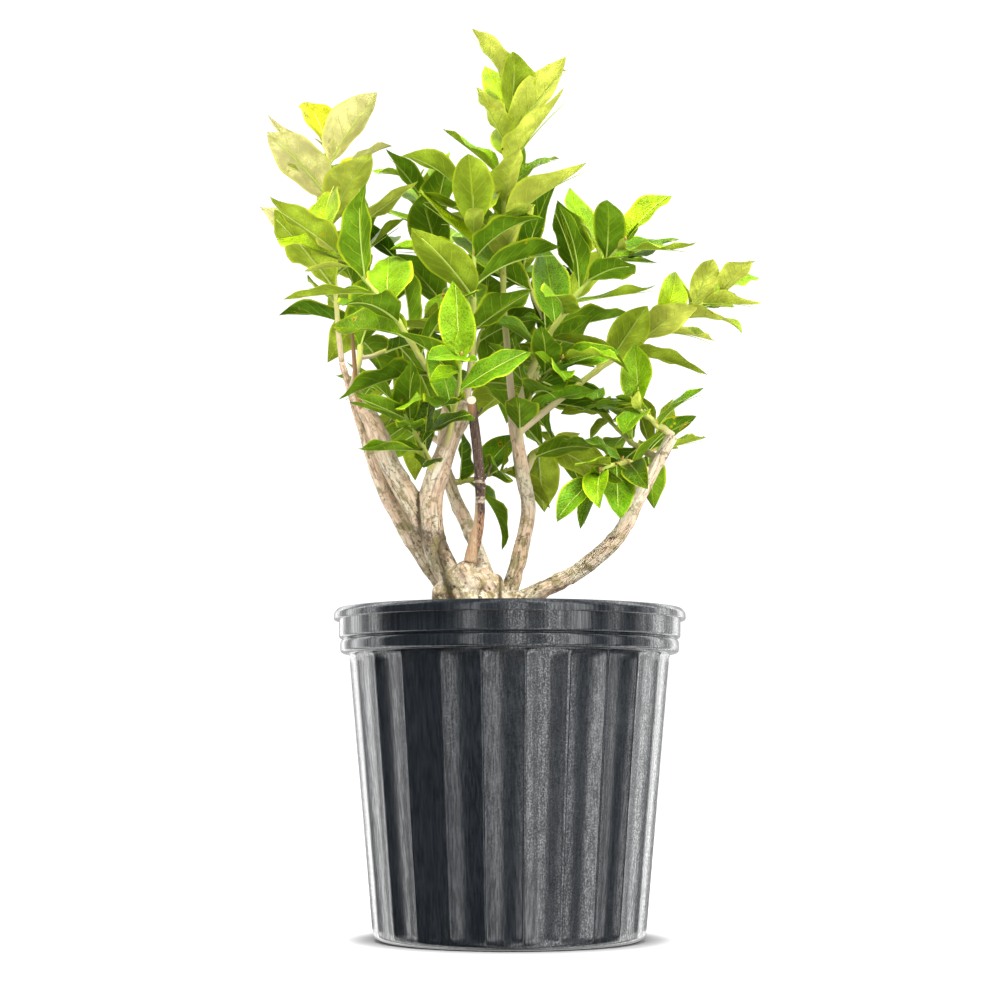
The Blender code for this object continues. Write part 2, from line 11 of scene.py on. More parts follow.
import bpy
import numpy as np
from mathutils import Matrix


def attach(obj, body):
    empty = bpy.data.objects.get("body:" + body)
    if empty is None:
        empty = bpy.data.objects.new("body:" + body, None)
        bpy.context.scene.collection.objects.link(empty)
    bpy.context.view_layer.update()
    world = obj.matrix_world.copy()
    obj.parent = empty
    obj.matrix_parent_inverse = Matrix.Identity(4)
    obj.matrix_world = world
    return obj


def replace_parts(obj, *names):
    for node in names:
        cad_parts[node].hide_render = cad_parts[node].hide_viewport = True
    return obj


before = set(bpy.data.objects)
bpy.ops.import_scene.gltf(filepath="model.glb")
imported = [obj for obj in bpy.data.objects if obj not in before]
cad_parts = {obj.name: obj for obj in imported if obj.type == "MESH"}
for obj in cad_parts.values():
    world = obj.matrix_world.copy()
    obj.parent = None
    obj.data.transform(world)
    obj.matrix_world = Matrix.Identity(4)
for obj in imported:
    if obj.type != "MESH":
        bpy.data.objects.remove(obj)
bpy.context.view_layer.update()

# The view: a camera level with the pot looks up a little at the bush, which stands on grey paper with a
# painted glow. The glow makes the paper white away from the pot and leaves a painted shadow round the pot's
# foot.
# Three soft lamps light it, and upright white screens round it, with dark gaps between, show in whatever is
# glossy.
CAMERA_PLACE = (-0.0071, -1.6394, 0.1376)
CAMERA_RISE = math.radians(6.446)
FOCAL_SHARE = 2.2108  # focal length over the picture's side
SENSOR_MM = 36.0
FLOOR_DROP = 0.0004
FLOOR_SIDE = 80.0
PAPER_SHADE = (0.3, 0.3, 0.3)
LAMP_AIM = np.array([0.0, 0.0, 0.36])
LAMPS = (  # degrees to the right of the camera, degrees up, distance, width, height, watts
    ("right_lamp", 46, 20, 1.8, 1.1, 1.8, 29),
    ("left_lamp", -62, 28, 1.8, 0.5, 1.6, 14),
    ("top_lamp", -6, 60, 1.7, 1.0, 0.9, 66),
)
BACK_LIGHT = 0.7  # strength of the even light from behind the bush
FRONT_LIGHT = 0.08  # and of that from the sides and from the camera's side
BACK_LIGHT_FROM = (0.1, 0.75)  # how far back a direction points where that light begins and is full
SCREENS = (  # degrees right of the camera where each screen begins, is full, fades and ends, and its strength
    (23, 27, 33, 37, 2.5),
    (37, 42, 50, 56, 2.7),
    (-4, 1, 9, 14, 1.7),
    (-34, -29, -23, -16, 1.3),
    (-109, -105, -99, -95, 2.2),
    (-136, -129, -119, -113, 2.4),
    (67, 71, 75, 80, 1.7),
    (92, 95, 99, 103, 1.4),
    (106, 111, 121, 128, 2.6),
    (138, 144, 152, 158, 1.6),
    (-164, -158, -150, -144, 1.6),
)
PAPER_PAINTED_GLOW_AND_SHADOW = (0.100, 0.140)  # distances in metres from the middle over which the paper's painted glow rises from none to pure white; nearer in, the grey paper alone makes a painted shadow round the pot
BACKGROUND_SEEN = 1.2  # how bright the background is to the camera
MM = 0.001

camera = bpy.data.objects.new("camera", bpy.data.cameras.new("camera"))
camera.location = CAMERA_PLACE
camera.rotation_euler = (math.pi / 2 + CAMERA_RISE, 0, 0)
camera.data.sensor_width = SENSOR_MM
camera.data.lens = SENSOR_MM * FOCAL_SHARE
bpy.context.scene.collection.objects.link(camera)
bpy.context.scene.camera = camera
bpy.context.scene.view_settings.view_transform = "Standard"


class Value:
    """A shader value. Each operator on it adds the Math node of that name."""

    def __init__(self, tree, socket):
        self.tree, self.socket = tree, socket

    def maths(self, operation, *values):
        node = self.tree.nodes.new("ShaderNodeMath")
        node.operation = operation
        for socket, value in zip(node.inputs, values):
            feed(self.tree, socket, value)
        return Value(self.tree, node.outputs[0])

    def __add__(self, other):
        return self.maths("ADD", self, other)

    def __sub__(self, other):
        return self.maths("SUBTRACT", self, other)

    def __rsub__(self, other):
        return self.maths("SUBTRACT", other, self)

    def __mul__(self, other):
        return self.maths("MULTIPLY", self, other)

    def __abs__(self):
        return self.maths("ABSOLUTE", self)

    __radd__ = __add__
    __rmul__ = __mul__

    def wave(self):
        """Runs from 0 to 1 and back over each whole number."""
        return abs(self.maths("FRACT", self) - 0.5) * 2

    def step(self, low, high):
        """0 below low, 1 above high and smooth between; the other way round where low is the larger."""
        node = self.tree.nodes.new("ShaderNodeMapRange")
        node.interpolation_type = "SMOOTHSTEP"
        feed(self.tree, node.inputs["Value"], self)
        node.inputs["From Min"].default_value = min(low, high)
        node.inputs["From Max"].default_value = max(low, high)
        node.inputs["To Min"].default_value = float(low > high)
        node.inputs["To Max"].default_value = float(low < high)
        return Value(self.tree, node.outputs[0])


def feed(tree, socket, value):
    """Links a shader value to a socket, or sets a plain one on it."""
    if isinstance(value, Value):
        tree.links.new(value.socket, socket)
    elif isinstance(value, tuple) and socket.type == "RGBA":
        socket.default_value = (*value, 1)
    else:
        socket.default_value = value


class Finish:
    """A material in the making, around its Principled shader."""

    def __init__(self, name, plain):
        self.material = bpy.data.materials.new(name)
        self.material.use_nodes = True
        self.tree = self.material.node_tree
        self.shader = self.tree.nodes["Principled BSDF"]
        self.surface(plain)

    def surface(self, sockets):
        for name, value in sockets.items():
            feed(self.tree, self.shader.inputs[name], value)

    def node(self, kind, settings, sockets, output=0):
        """Adds a node of any type: its settings first, then the values or links of its sockets."""
        node = self.tree.nodes.new("ShaderNode" + kind)
        for name, value in settings.items():
            setattr(node, name, value)
        for name, value in sockets.items():
            feed(self.tree, node.inputs[name], value)
        return Value(self.tree, node.outputs[output])

    def place(self, stretch=(1, 1, 1)):
        """Object coordinates, stretched."""
        return self.stretched(self.node("TexCoord", {}, {}, "Object"), stretch)

    def attribute(self, name):
        return self.node("Attribute", {"attribute_name": name}, {}, "Vector")

    def parts(self, vector):
        return [self.node("SeparateXYZ", {}, {0: vector}, axis) for axis in range(3)]

    def stretched(self, vector, scale):
        return self.node("Mapping", {}, {"Vector": vector, "Scale": scale})

    def noise(self, vector, scale, detail=3.0, rough=0.55):
        sockets = {"Vector": vector, "Scale": scale, "Detail": detail, "Roughness": rough}
        return self.node("TexNoise", {}, sockets)

    def mottle(self, scale, detail=3.0, rough=0.55, stretch=(1, 1, 1)):
        return self.noise(self.place(stretch), scale, detail, rough)

    def cells(self, vector, scale, feature="F1"):
        return self.node("TexVoronoi", {"feature": feature}, {"Vector": vector, "Scale": scale})

    def blend(self, factor, first, second):
        """Goes from the first colour to the second as the factor goes from 0 to 1."""
        return self.node("Mix", {"data_type": "RGBA"}, {0: factor, 6: first, 7: second}, 2)

    def painted(self, tone, *coats):
        """The tone with coats laid over it in turn: for each, how thickly from 0 to 1, and its colour."""
        for factor, colour in coats:
            tone = self.blend(factor, tone, colour)
        return tone

    def bump(self, height, depth):
        return self.node("Bump", {}, {"Height": height, "Distance": depth, "Strength": 1.0})


# The paper glows though it is no lamp. Its painted glow is pure white far from the pot and falls to nothing
# near the pot's foot, where the grey paper lit by the lamps alone makes a painted shadow.
paper = Finish("paper_with_painted_glow", {"Base Color": PAPER_SHADE, "Roughness": 0.9, "Emission Strength": 1.0})
across = paper.node("VectorMath", {"operation": "LENGTH"}, {0: paper.place()}, 1)
paper.surface({"Emission Color": paper.blend(across.step(*PAPER_PAINTED_GLOW_AND_SHADOW), (0.0, 0.0, 0.0), (1.0, 1.0, 1.0))})
bpy.ops.mesh.primitive_plane_add(size=FLOOR_SIDE, location=(0, 0, -FLOOR_DROP))
floor = bpy.context.object
floor.name = "paper_floor"
floor.data.materials.append(paper.material)
floor.visible_glossy = False

world = bpy.data.worlds.new("studio")
world.use_nodes = True
sky = world.node_tree
bpy.context.scene.world = world
light_way = sky.nodes.new("ShaderNodeTexCoord")
way_parts = sky.nodes.new("ShaderNodeSeparateXYZ")
sky.links.new(light_way.outputs["Generated"], way_parts.inputs[0])
right_way, back_way = (Value(sky, way_parts.outputs[axis]) for axis in "XY")
bearing = right_way.maths("ARCTAN2", right_way, back_way * -1) * math.degrees(1)
strength = back_way.step(*BACK_LIGHT_FROM) * (BACK_LIGHT - FRONT_LIGHT) + FRONT_LIGHT
for begin, full, fade, end, bright in SCREENS:
    strength = strength + bearing.step(begin, full) * bearing.step(end, fade) * bright
seen = sky.nodes.new("ShaderNodeLightPath")
strength = strength + Value(sky, seen.outputs["Is Camera Ray"]) * (BACKGROUND_SEEN - strength)
feed(sky, sky.nodes["Background"].inputs["Strength"], strength)
feed(sky, sky.nodes["Background"].inputs["Color"], (1.0, 1.0, 1.0))

for name, right, rise, distance, width, height, watts in LAMPS:
    lamp = bpy.data.lights.new(name, "AREA")
    lamp.shape = "RECTANGLE"
    lamp.size, lamp.size_y = width, height
    lamp.energy = watts
    turn, lift = math.radians(right), math.radians(rise)
    back = np.array([math.sin(turn) * math.cos(lift), -math.cos(turn) * math.cos(lift), math.sin(lift)])
    holder = bpy.data.objects.new(name, lamp)
    holder.location = LAMP_AIM + distance * back
    holder.rotation_euler = (math.pi / 2 - lift, 0, turn)
    holder.visible_camera = False
    holder.visible_glossy = False
    bpy.context.scene.collection.objects.link(holder)


# The pot: one blow-moulded shell of black plastic. A lip droops over two bands, and 24 shallow flutes that
# meet in ridges run down the tapering wall to a narrow foot.
POT_LIP_MM = (130.0, 241.0, 8.0)  # radius, height of the top and drop
POT_BAND_MM = (126.0, 208.5)  # radius, and height of its lower edge
POT_GROOVE_MM = 218.3  # height of the groove between the two bands
POT_WALL_TOP_MM = 119.0
POT_WALL_FOOT_MM = (100.6, 8.0)  # radius and height
POT_WALL_ROWS = 64
POT_FLUTES = 24
FLUTE_TURN_DEG = -2.2
FLUTE_DEPTH_MM = 2.2
FLUTE_ENDS_MM = (6.0, 206.8)
FOOT_CORNER_MM = 6.0
POT_WALL_MM = 1.5
POT_FLOOR_MM = 2.5
POT_BAND_THICK_MM = 3.0
POT_PLUG_MM = 4.8  # how far the soil keeps off the outer wall, which is drawn in by the flutes
FLUTE_FADE_MM = (3.0, 1.4)  # over which a flute runs out at its foot and at its top
RIDGE_BLUNT = 0.003
POT_ACROSS = 24  # faces across each flute
POT_RIPPLE = 0.0012
PLASTIC_DARK = (0.003, 0.0045, 0.006)
PLASTIC_LIGHT = (0.012, 0.015, 0.019)
PLASTIC_DUST = (0.05, 0.053, 0.056)


def quadratic(start, bend, end, t):
    """The curve (1 - t)^2 start + 2 t (1 - t) bend + t^2 end."""
    return (1 - t) ** 2 * start + 2 * t * (1 - t) * bend + t**2 * end


def rounded(points, radius, arc=5):
    """A profile whose corners are cut by radius and replaced by a quadratic curve drawn to the corner."""
    points = np.array(points, float)
    before, corner, after = points[:-2], points[1:-1], points[2:]

    def towards(end):
        gap = end - corner
        length = np.linalg.norm(gap, axis=1, keepdims=True)
        return corner + gap / length * np.minimum(radius, 0.45 * length)

    t = np.linspace(0, 1, arc)[None, :, None]
    bends = quadratic(towards(before)[:, None], corner[:, None], towards(after)[:, None], t)
    return np.concatenate([points[:1], bends.reshape(-1, 2), points[-1:]])


def finer(points, longest):
    """The same profile, with rows added so that no step is longer than longest."""
    rows = [points[:1]]
    for start, end in zip(points[:-1], points[1:]):
        count = max(1, math.ceil(np.linalg.norm(end - start) / longest))
        rows.append(start + (end - start) * np.linspace(0, 1, count + 1)[1:, None])
    return np.concatenate(rows)


def hash_grid(cells, seed):
    """A number from 0 to 1 for each whole-numbered place, the same each run."""
    x, y, z = np.moveaxis(cells, -1, 0)
    mixed = x * 374761393 + y * 668265263 + z * 2147483647 + seed * 974634777
    mixed = (mixed ^ (mixed >> 13)) * 1274126177 & 0x7FFFFFFF
    return ((mixed ^ (mixed >> 16)) & 0xFFFFF) / 0xFFFFF


def lumps(points, seed=0):
    """Smooth random heights from -1 to 1, one lump to a unit: corner values of each cell, blended."""
    low = np.floor(points).astype(np.int64)
    part = points - low
    part = part * part * (3 - 2 * part)
    total = np.zeros(points.shape[:-1])
    for corner in range(8):
        pick = np.array([corner & 1, corner >> 1 & 1, corner >> 2])
        share = np.where(pick, part, 1 - part).prod(-1)
        total += share * hash_grid(low + pick, seed)
    return 2 * total - 1


def grid_faces(rows, columns):
    """Corner numbers of the faces of a grid whose last column meets its first, row by row."""
    row = np.arange(rows - 1)[:, None] * columns
    column = np.arange(columns)[None, :]
    after = (column + 1) % columns
    upper = row + columns
    return np.stack([row + column, row + after, upper + after, upper + column], -1).reshape(-1, 4)


def add_piece(name, corners, faces, finish, smooth=True):
    """A mesh object from arrays of corners and faces, on the plant's body."""
    mesh = bpy.data.meshes.new(name)
    mesh.from_pydata(np.asarray(corners, float).reshape(-1, 3), [], [tuple(face) for face in faces])
    if smooth:
        mesh.shade_smooth()
    obj = bpy.data.objects.new(name, mesh)
    bpy.context.scene.collection.objects.link(obj)
    obj.data.materials.append(finish.material)
    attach(obj, "root")
    return obj


def wall_radius(z):
    """Radius of the raised panels at a height in millimetres: a straight taper."""
    share = (z - POT_WALL_FOOT_MM[1]) / (POT_BAND_MM[1] - POT_WALL_FOOT_MM[1])
    return POT_WALL_FOOT_MM[0] + share * (POT_WALL_TOP_MM - POT_WALL_FOOT_MM[0])


def pot_profile():
    """Radius and height from the floor's middle up the inside, over the lip and down to the foot's middle."""
    lip, top, drop = POT_LIP_MM
    band, band_foot = POT_BAND_MM
    inner = band - POT_BAND_THICK_MM
    thick = FLUTE_DEPTH_MM + POT_WALL_MM
    inside = [
        (0.0, POT_FLOOR_MM),
        (wall_radius(POT_FLOOR_MM) - thick, POT_FLOOR_MM),
        (wall_radius(band_foot) - thick, band_foot - 1.5),
        (inner, band_foot + 4.0),
        (inner, top - 1.0),
    ]
    outside = [
        (lip - 2.6, top),
        (lip, top - 3.4),
        (lip + 0.2, top - drop + 0.4),
        (lip - 0.6, top - drop - 0.5),
        (band + 0.4, top - drop + 0.3),
        (band + 0.2, POT_GROOVE_MM + 1.9),
        (band - 1.2, POT_GROOVE_MM + 0.7),
        (band - 2.6, POT_GROOVE_MM),
        (band - 1.4, POT_GROOVE_MM - 0.9),
        (band - 0.8, POT_GROOVE_MM - 2.7),
        (band - 0.9, band_foot + 1.4),
        (band - 2.4, band_foot - 0.3),
        (POT_WALL_TOP_MM - 1.0, band_foot - 0.9),
    ]
    foot, foot_top = POT_WALL_FOOT_MM
    ground = [
        (foot - 0.3, 7.5),
        (foot - 1.6, FOOT_CORNER_MM * 0.45),
        (foot - FOOT_CORNER_MM, 0.0),
        (0.0, 0.0),
    ]
    upper = rounded(inside + outside, 0.9)
    heights = np.linspace(band_foot - 1.6, foot_top + 1.0, POT_WALL_ROWS)
    wall = np.stack([wall_radius(heights), heights], -1)
    lower = rounded(ground, 3.0)
    return finer(np.concatenate([upper, wall, lower]), 9.0)


def flute_dip(angle, z):
    """How far the outer wall is drawn in: depth (1 - u^2), u from -1 to 1 over a flute, with blunt ridges."""
    pitch = 360 / POT_FLUTES
    off = (np.degrees(angle) - FLUTE_TURN_DEG + pitch / 2) % pitch - pitch / 2
    crease_painted_shade = np.sqrt((1 - (2 * off / pitch) ** 2) ** 2 + RIDGE_BLUNT)
    (low, high), (fade_low, fade_high) = FLUTE_ENDS_MM, FLUTE_FADE_MM
    ends = np.clip((z - low) / fade_low, 0, 1) * np.clip((high - z) / fade_high, 0, 1)
    return FLUTE_DEPTH_MM * crease_painted_shade * np.sqrt(ends)


profile = pot_profile()
columns = POT_FLUTES * POT_ACROSS
angles = np.arange(columns) * 2 * math.pi / columns
radius = np.repeat(profile[:, :1], columns, 1)
height = np.repeat(profile[:, 1:], columns, 1)
outer_row = np.arange(len(profile)) > int(np.argmax(profile[:, 1]))
fluted = outer_row[:, None] & (radius > wall_radius(height) - 4)
radius = radius - fluted * flute_dip(angles[None, :], height)
circle = np.stack([np.cos(angles), np.sin(angles)], -1)[None]
around = np.concatenate([np.repeat(circle, len(profile), 0) * 2.0, height[..., None] * 0.012], -1)
radius = radius * (1 + POT_RIPPLE * lumps(around, 3))
corners = np.stack([radius * np.cos(angles), radius * np.sin(angles), height], -1) * MM

pot_finish = Finish("black_plastic", {"Specular IOR Level": 0.42, "Coat Roughness": 0.14, "Coat IOR": 1.8})
streaks = pot_finish.mottle(760.0, rough=0.65, stretch=(1, 1, 0.03))
broad_streaks = pot_finish.mottle(130.0, 2.0, stretch=(1, 1, 0.02))
speckle = pot_finish.mottle(1000.0, 1.0, 0.6, (1, 1, 0.8))
zones = pot_finish.mottle(26.0, 1.0, stretch=(1, 1, 0.15))
dust = pot_finish.mottle(28.0, 4.0).step(0.5, 0.85)
plastic = pot_finish.painted(
    PLASTIC_DARK,
    (streaks.step(0.3, 0.75), PLASTIC_LIGHT),
    (dust * 0.25, PLASTIC_DUST),
)
scuffs = streaks.step(0.42, 0.62) * 0.5 + broad_streaks.step(0.44, 0.60) * 0.15
sparkle = speckle.step(0.48, 0.64) * zones.step(0.35, 0.65)
pot_finish.surface({
    "Base Color": plastic,
    "Roughness": 0.09 + 0.07 * zones + 0.05 * streaks,
    "Coat Weight": 0.15 + scuffs + sparkle * 0.9,
    "Normal": pot_finish.bump(streaks * 0.5 + speckle * zones.step(0.3, 0.7), 0.0002),
})
faces = grid_faces(len(profile), columns)[:, ::-1]
pot = add_piece("pot_shell", corners, faces, pot_finish)
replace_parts(pot, "pot")


# The soil: shredded bark that has settled a finger's width under the lip, dark and moist, with loose chips
# lying on it.
SOIL_TOP_MM = 219.0
SOIL_FLAT_MM = 75.0
SOIL_FALL_MM = 3.0
SOIL_CLEAR_MM = 0.8  # from the band's inner wall
SOIL_GAP_MM = 0.3  # from the pot's floor
SOIL_STEP_MM = (212.5, 205.0)  # heights between which the soil narrows under the pot's band
SOIL_COLUMNS = 200
SOIL_ROWS = 56
CHIPS = 2600
CHIP_LONG_MM = (3.0, 1.6, 1.2)  # half a chip's length: shape and scale of a gamma spread, and what is added
CHIP_WIDE_MM = (0.9, 3.0)
CHIP_THICK_MM = (0.3, 1.0)
CHIP_TIP = 0.32
CHIP_TINTS = ((0.075, 0.042, 0.024), (0.17, 0.105, 0.06), (0.03, 0.018, 0.011))
edge = POT_BAND_MM[0] - POT_BAND_THICK_MM - SOIL_CLEAR_MM


def soil_fall(distance):
    """How far the soil has sunk: not at all round its middle, then evenly more towards the wall."""
    return SOIL_FALL_MM * np.clip((distance - SOIL_FLAT_MM) / (edge - SOIL_FLAT_MM), 0, 1)


def turn_in_plane(shapes, angles, first, second):
    """Turns each shape by its own angle in the plane of two of its axes, in place."""
    cos, sin = np.cos(angles)[:, None], np.sin(angles)[:, None]
    a, b = shapes[..., first].copy(), shapes[..., second].copy()
    shapes[..., first] = a * cos - b * sin
    shapes[..., second] = a * sin + b * cos


chance = np.random.default_rng(11)
reach = np.linspace(0, 1, SOIL_ROWS) ** 0.8 * edge
reach[0] = 0.01
fall = soil_fall(reach)
angles = np.arange(SOIL_COLUMNS) * 2 * math.pi / SOIL_COLUMNS
circle = np.stack([np.cos(angles), np.sin(angles), 0 * angles], -1)
disc = reach[:, None, None] * circle + np.stack([0 * fall, 0 * fall, SOIL_TOP_MM - fall], -1)[:, None]
lift = 1.6 * lumps(disc / 9.0, 5) + 0.9 * lumps(disc / 3.5, 6)
disc[..., 2] += np.minimum(lift, 1.0) * np.clip((edge - reach) / 6, 0, 1)[:, None] - 0.8
floor_top = POT_FLOOR_MM + SOIL_GAP_MM
foot_ring = wall_radius(POT_FLOOR_MM) - POT_PLUG_MM
side = (
    (edge, SOIL_STEP_MM[0]),
    (wall_radius(SOIL_STEP_MM[1] + 2.0) - POT_PLUG_MM, SOIL_STEP_MM[1]),
    (foot_ring, floor_top),
    (0.01, floor_top),
)
plug = np.stack([r * circle + (0, 0, z) for r, z in side])
corners = np.concatenate([disc, plug]) * MM

soil_finish = Finish("bark_mix", {"Roughness": 0.9, "Specular IOR Level": 0.3})
crumb = soil_finish.mottle(240.0, 5.0, 0.7)
clod = soil_finish.mottle(55.0)
earth = soil_finish.painted(
    (0.012, 0.007, 0.004),
    (crumb.step(0.3, 0.7), (0.085, 0.048, 0.026)),
    (clod.step(0.5, 0.8) * 0.6, (0.15, 0.09, 0.05)),
)
soil_finish.surface({"Base Color": earth, "Normal": soil_finish.bump(crumb + clod, 0.0015)})
soil = add_piece("bark_soil", corners, grid_faces(len(corners), SOIL_COLUMNS), soil_finish)
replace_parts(soil, "soil")

# The loose chips: bits of the same bark in three shades. Each is a jittered bar of eight corners that is
# turned flat or nearly so and laid on the soil.
bar = np.array([(x, y, z) for x in (-1, 1) for y in (-1, 1) for z in (-1, 1)], float)
bar_faces = np.array([(0, 1, 3, 2), (4, 6, 7, 5), (0, 4, 5, 1), (2, 3, 7, 6), (0, 2, 6, 4), (1, 5, 7, 3)])
long = chance.gamma(*CHIP_LONG_MM[:2], CHIPS) + CHIP_LONG_MM[2]
half = np.stack([long, chance.uniform(*CHIP_WIDE_MM, CHIPS), chance.uniform(*CHIP_THICK_MM, CHIPS)], -1)
chips = bar[None] * half[:, None] * chance.uniform(0.55, 1.1, (CHIPS, 8, 3))
turn, tip = chance.uniform(0, 2 * math.pi, CHIPS), chance.normal(0, CHIP_TIP, CHIPS)
turn_in_plane(chips, tip, 0, 2)
turn_in_plane(chips, turn, 0, 1)
spread = (edge - 9) * np.sqrt(chance.uniform(0, 1, CHIPS))
angle = chance.uniform(0, 2 * math.pi, CHIPS)
ground = SOIL_TOP_MM - soil_fall(spread) + chance.uniform(-0.8, 0.9, CHIPS)
chips += np.stack([spread * np.cos(angle), spread * np.sin(angle), ground], -1)[:, None]
for number, tint in enumerate(CHIP_TINTS):
    chip_finish = Finish(f"bark_chip_{number}", {"Roughness": 0.85, "Specular IOR Level": 0.3})
    fibre = chip_finish.mottle(420.0, rough=0.6)
    shade = tuple(0.45 * c for c in tint)
    chip_finish.surface({
        "Base Color": chip_finish.blend(fibre.step(0.3, 0.7), shade, tint),
        "Normal": chip_finish.bump(fibre, 0.0006),
    })
    own = np.arange(CHIPS) % len(CHIP_TINTS) == number
    faces = (np.arange(own.sum())[:, None, None] * len(bar) + bar_faces).reshape(-1, 4)
    add_piece(f"bark_chips_{number}", chips[own] * MM, faces, chip_finish, smooth=False)


# The woody stems: pale, pinkish bark that cracks and peels in strips, over limbs that part from one crown of
# old knots at the soil. One mesh holds them all, because on a real bush the bark runs on through every fork.
LIMBS_MM = {  # x, y, z and thickness at each knot, from the crown up
    "outer_left_stem": (
        (-46, 14, 254, 14.6), (-73, 16, 295, 13.6), (-95, 18, 334, 12.2),
        (-111, 20, 378, 8.2), (-128, 26, 432, 5.4),
    ),
    "left_stem": (
        (-57, -9, 294, 17.0), (-75, -8, 325, 16.6), (-88, -7, 346, 15.6),
        (-101, -2, 378, 14.0), (-118, 5, 408, 8.5),
    ),
    "main_stem": (
        (-43, -6, 262, 19.5), (-58, -10, 299, 19.0), (-58, -14, 323, 18.6),
        (-49, -18, 352, 16.5), (-32, -25, 393, 12.4),
    ),
    "dead_stub": (
        (-29, -20, 275, 9.5), (-22, -28, 308, 7.6), (-22, -33, 335, 7.2),
        (-24, -36, 357, 7.0), (-28, -39, 392, 7.0),
    ),
    "back_stem": (
        (-12, 15, 255, 11.8), (-30, 24, 303, 11.0), (-45, 40, 338, 10.0),
        (-52, 60, 376, 8.4), (-48, 78, 414, 6.4),
    ),
    "middle_stem": (
        (0, 6, 253, 13.2), (9, 8, 288, 12.2), (14, 10, 314, 11.4),
        (8, 12, 354, 10.8), (2, 15, 401, 10.0),
    ),
    "right_stem": (
        (17, -2, 252, 13.4), (50, -3, 269, 12.8), (81, -6, 296, 12.0),
        (96, -8, 324, 11.6), (121, -10, 370, 9.6),
    ),
    "dead_twig": (
        (-109, -1, 386, 4.4), (-114, -5, 402, 3.8), (-116, -5, 423, 3.2), (-118, -5, 449, 2.4),
    ),
}
DEAD = ("dead_stub", "dead_twig")
FORKED = ("left_stem",)  # it leaves another limb, and has no root of its own
FOOT_CENTRE_MM = (-20.0, 0.0)
FOOT_SPREAD = 0.62  # how far out a root starts, as a share of the way out to its limb
FOOT_SINK_MM = 6.0
FOOT_FLARE = 1.45  # thickness of a root's foot over that of its limb
BURLS_MM = (  # place and radius: the mound, then the knots on it
    (-22, -4, 224, 28), (-20, -8, 240, 21), (-33, -12, 252, 14), (-14, -6, 252, 13), (-2, 2, 236, 15),
    (-41, -15, 262, 9), (-33, -17, 268, 8), (-25, -20, 259, 9), (-12, -15, 258, 9), (-47, -9, 251, 11),
    (-19, -11, 268, 7), (4, -6, 247, 9), (-28, -19, 246, 11), (-8, -12, 245, 11),
)
LIMB_AROUND = 28
LIMB_ROWS = 70
LIMB_STEPS = 90
ROOT_MM = 60.0  # how far each limb is carried on downwards, for the grain of the bark on the crown
ROOT_STEPS = 30
GRAIN_APART_MM = 300.0  # between one limb's grain and the next one's, so that no two look alike
BURL_ROWS = 18
FOOT_ROWS = 14
BARK_VOXEL_MM = 1.15
BARK_SMOOTHING = 4
STRIP_MM, PLATE_MM, KNOT_MM = 0.28, 0.22, 1.3  # how far the bark's strips, plates and knots stand up
CROWN_LUMP_MM, CROWN_FINE_MM, CREASE_MM = 1.0, 0.5, 1.1
CROWN_TOP_MM, CROWN_FADE_MM = 280.0, 30.0  # where the crown's own relief begins, and the height it grows over
SEAM_DEEP_MM = 0.9
BARK_SINK_MM = 0.15
SEAM_MM = 2.6  # width of the groove where two limbs grow together
SEAM_FLOOR_MM = 246.0  # below which the crown has healed over
FAR_MM = 9.0  # what counts as far from any seam
SCAR_STEP_MM = 46.0  # between the torn rings round a limb
FRONT = np.array([0.0, -1.0, 0.0])


def limb_at(name, shares):
    """Place and thickness at shares of a limb: a cubic through its knots, timed by the way between them."""
    knots = np.array(LIMBS_MM[name], float)
    steps = np.linalg.norm(np.diff(knots[:, :3], axis=0), axis=1)
    clock = np.concatenate([[0.0], np.cumsum(steps)]) / steps.sum()
    slope = np.gradient(knots, clock, axis=0)
    shares = np.atleast_1d(shares)
    i = np.minimum(np.searchsorted(clock, shares, side="right") - 1, len(clock) - 2)
    span = (clock[i + 1] - clock[i])[:, None]
    s = (shares[:, None] - clock[i][:, None]) / span
    return (
        (2 * s**3 - 3 * s**2 + 1) * knots[i] + (s**3 - 2 * s**2 + s) * span * slope[i]
        + (3 * s**2 - 2 * s**3) * knots[i + 1] + (s**3 - s**2) * span * slope[i + 1]
    )


def unit(vectors):
    return vectors / np.maximum(np.linalg.norm(vectors, axis=-1, keepdims=True), 1e-9)


def front_of(way):
    """The direction to the front f, made square to one way or each of several: f - (f . way) way."""
    return unit(FRONT - (way @ FRONT)[..., None] * way)


def tube_grid(points, radii, sides):
    """Rings along a path: at each point a circle square to the way, its first corner turned to the front."""
    ways = unit(np.gradient(points, axis=0))
    front = front_of(ways)
    cross = np.cross(ways, front)
    angle = np.arange(sides) * 2 * math.pi / sides
    ring = np.cos(angle)[None, :, None] * front[:, None] + np.sin(angle)[None, :, None] * cross[:, None]
    return points[:, None] + ring * np.asarray(radii)[:, None, None]


def closed_tube(points, radii, sides):
    """Corners and faces of a rod: its rings, and a point that closes each end."""
    rings = tube_grid(points, radii, sides)
    corners = np.concatenate([rings.reshape(-1, 3), points[:1], points[-1:]])
    faces = [tuple(face) for face in grid_faces(len(points), sides)]
    first, last = len(corners) - 2, len(corners) - 1
    start = (len(points) - 1) * sides
    faces += [(first, (k + 1) % sides, k) for k in range(sides)]
    faces += [(last, start + k, start + (k + 1) % sides) for k in range(sides)]
    return corners, faces


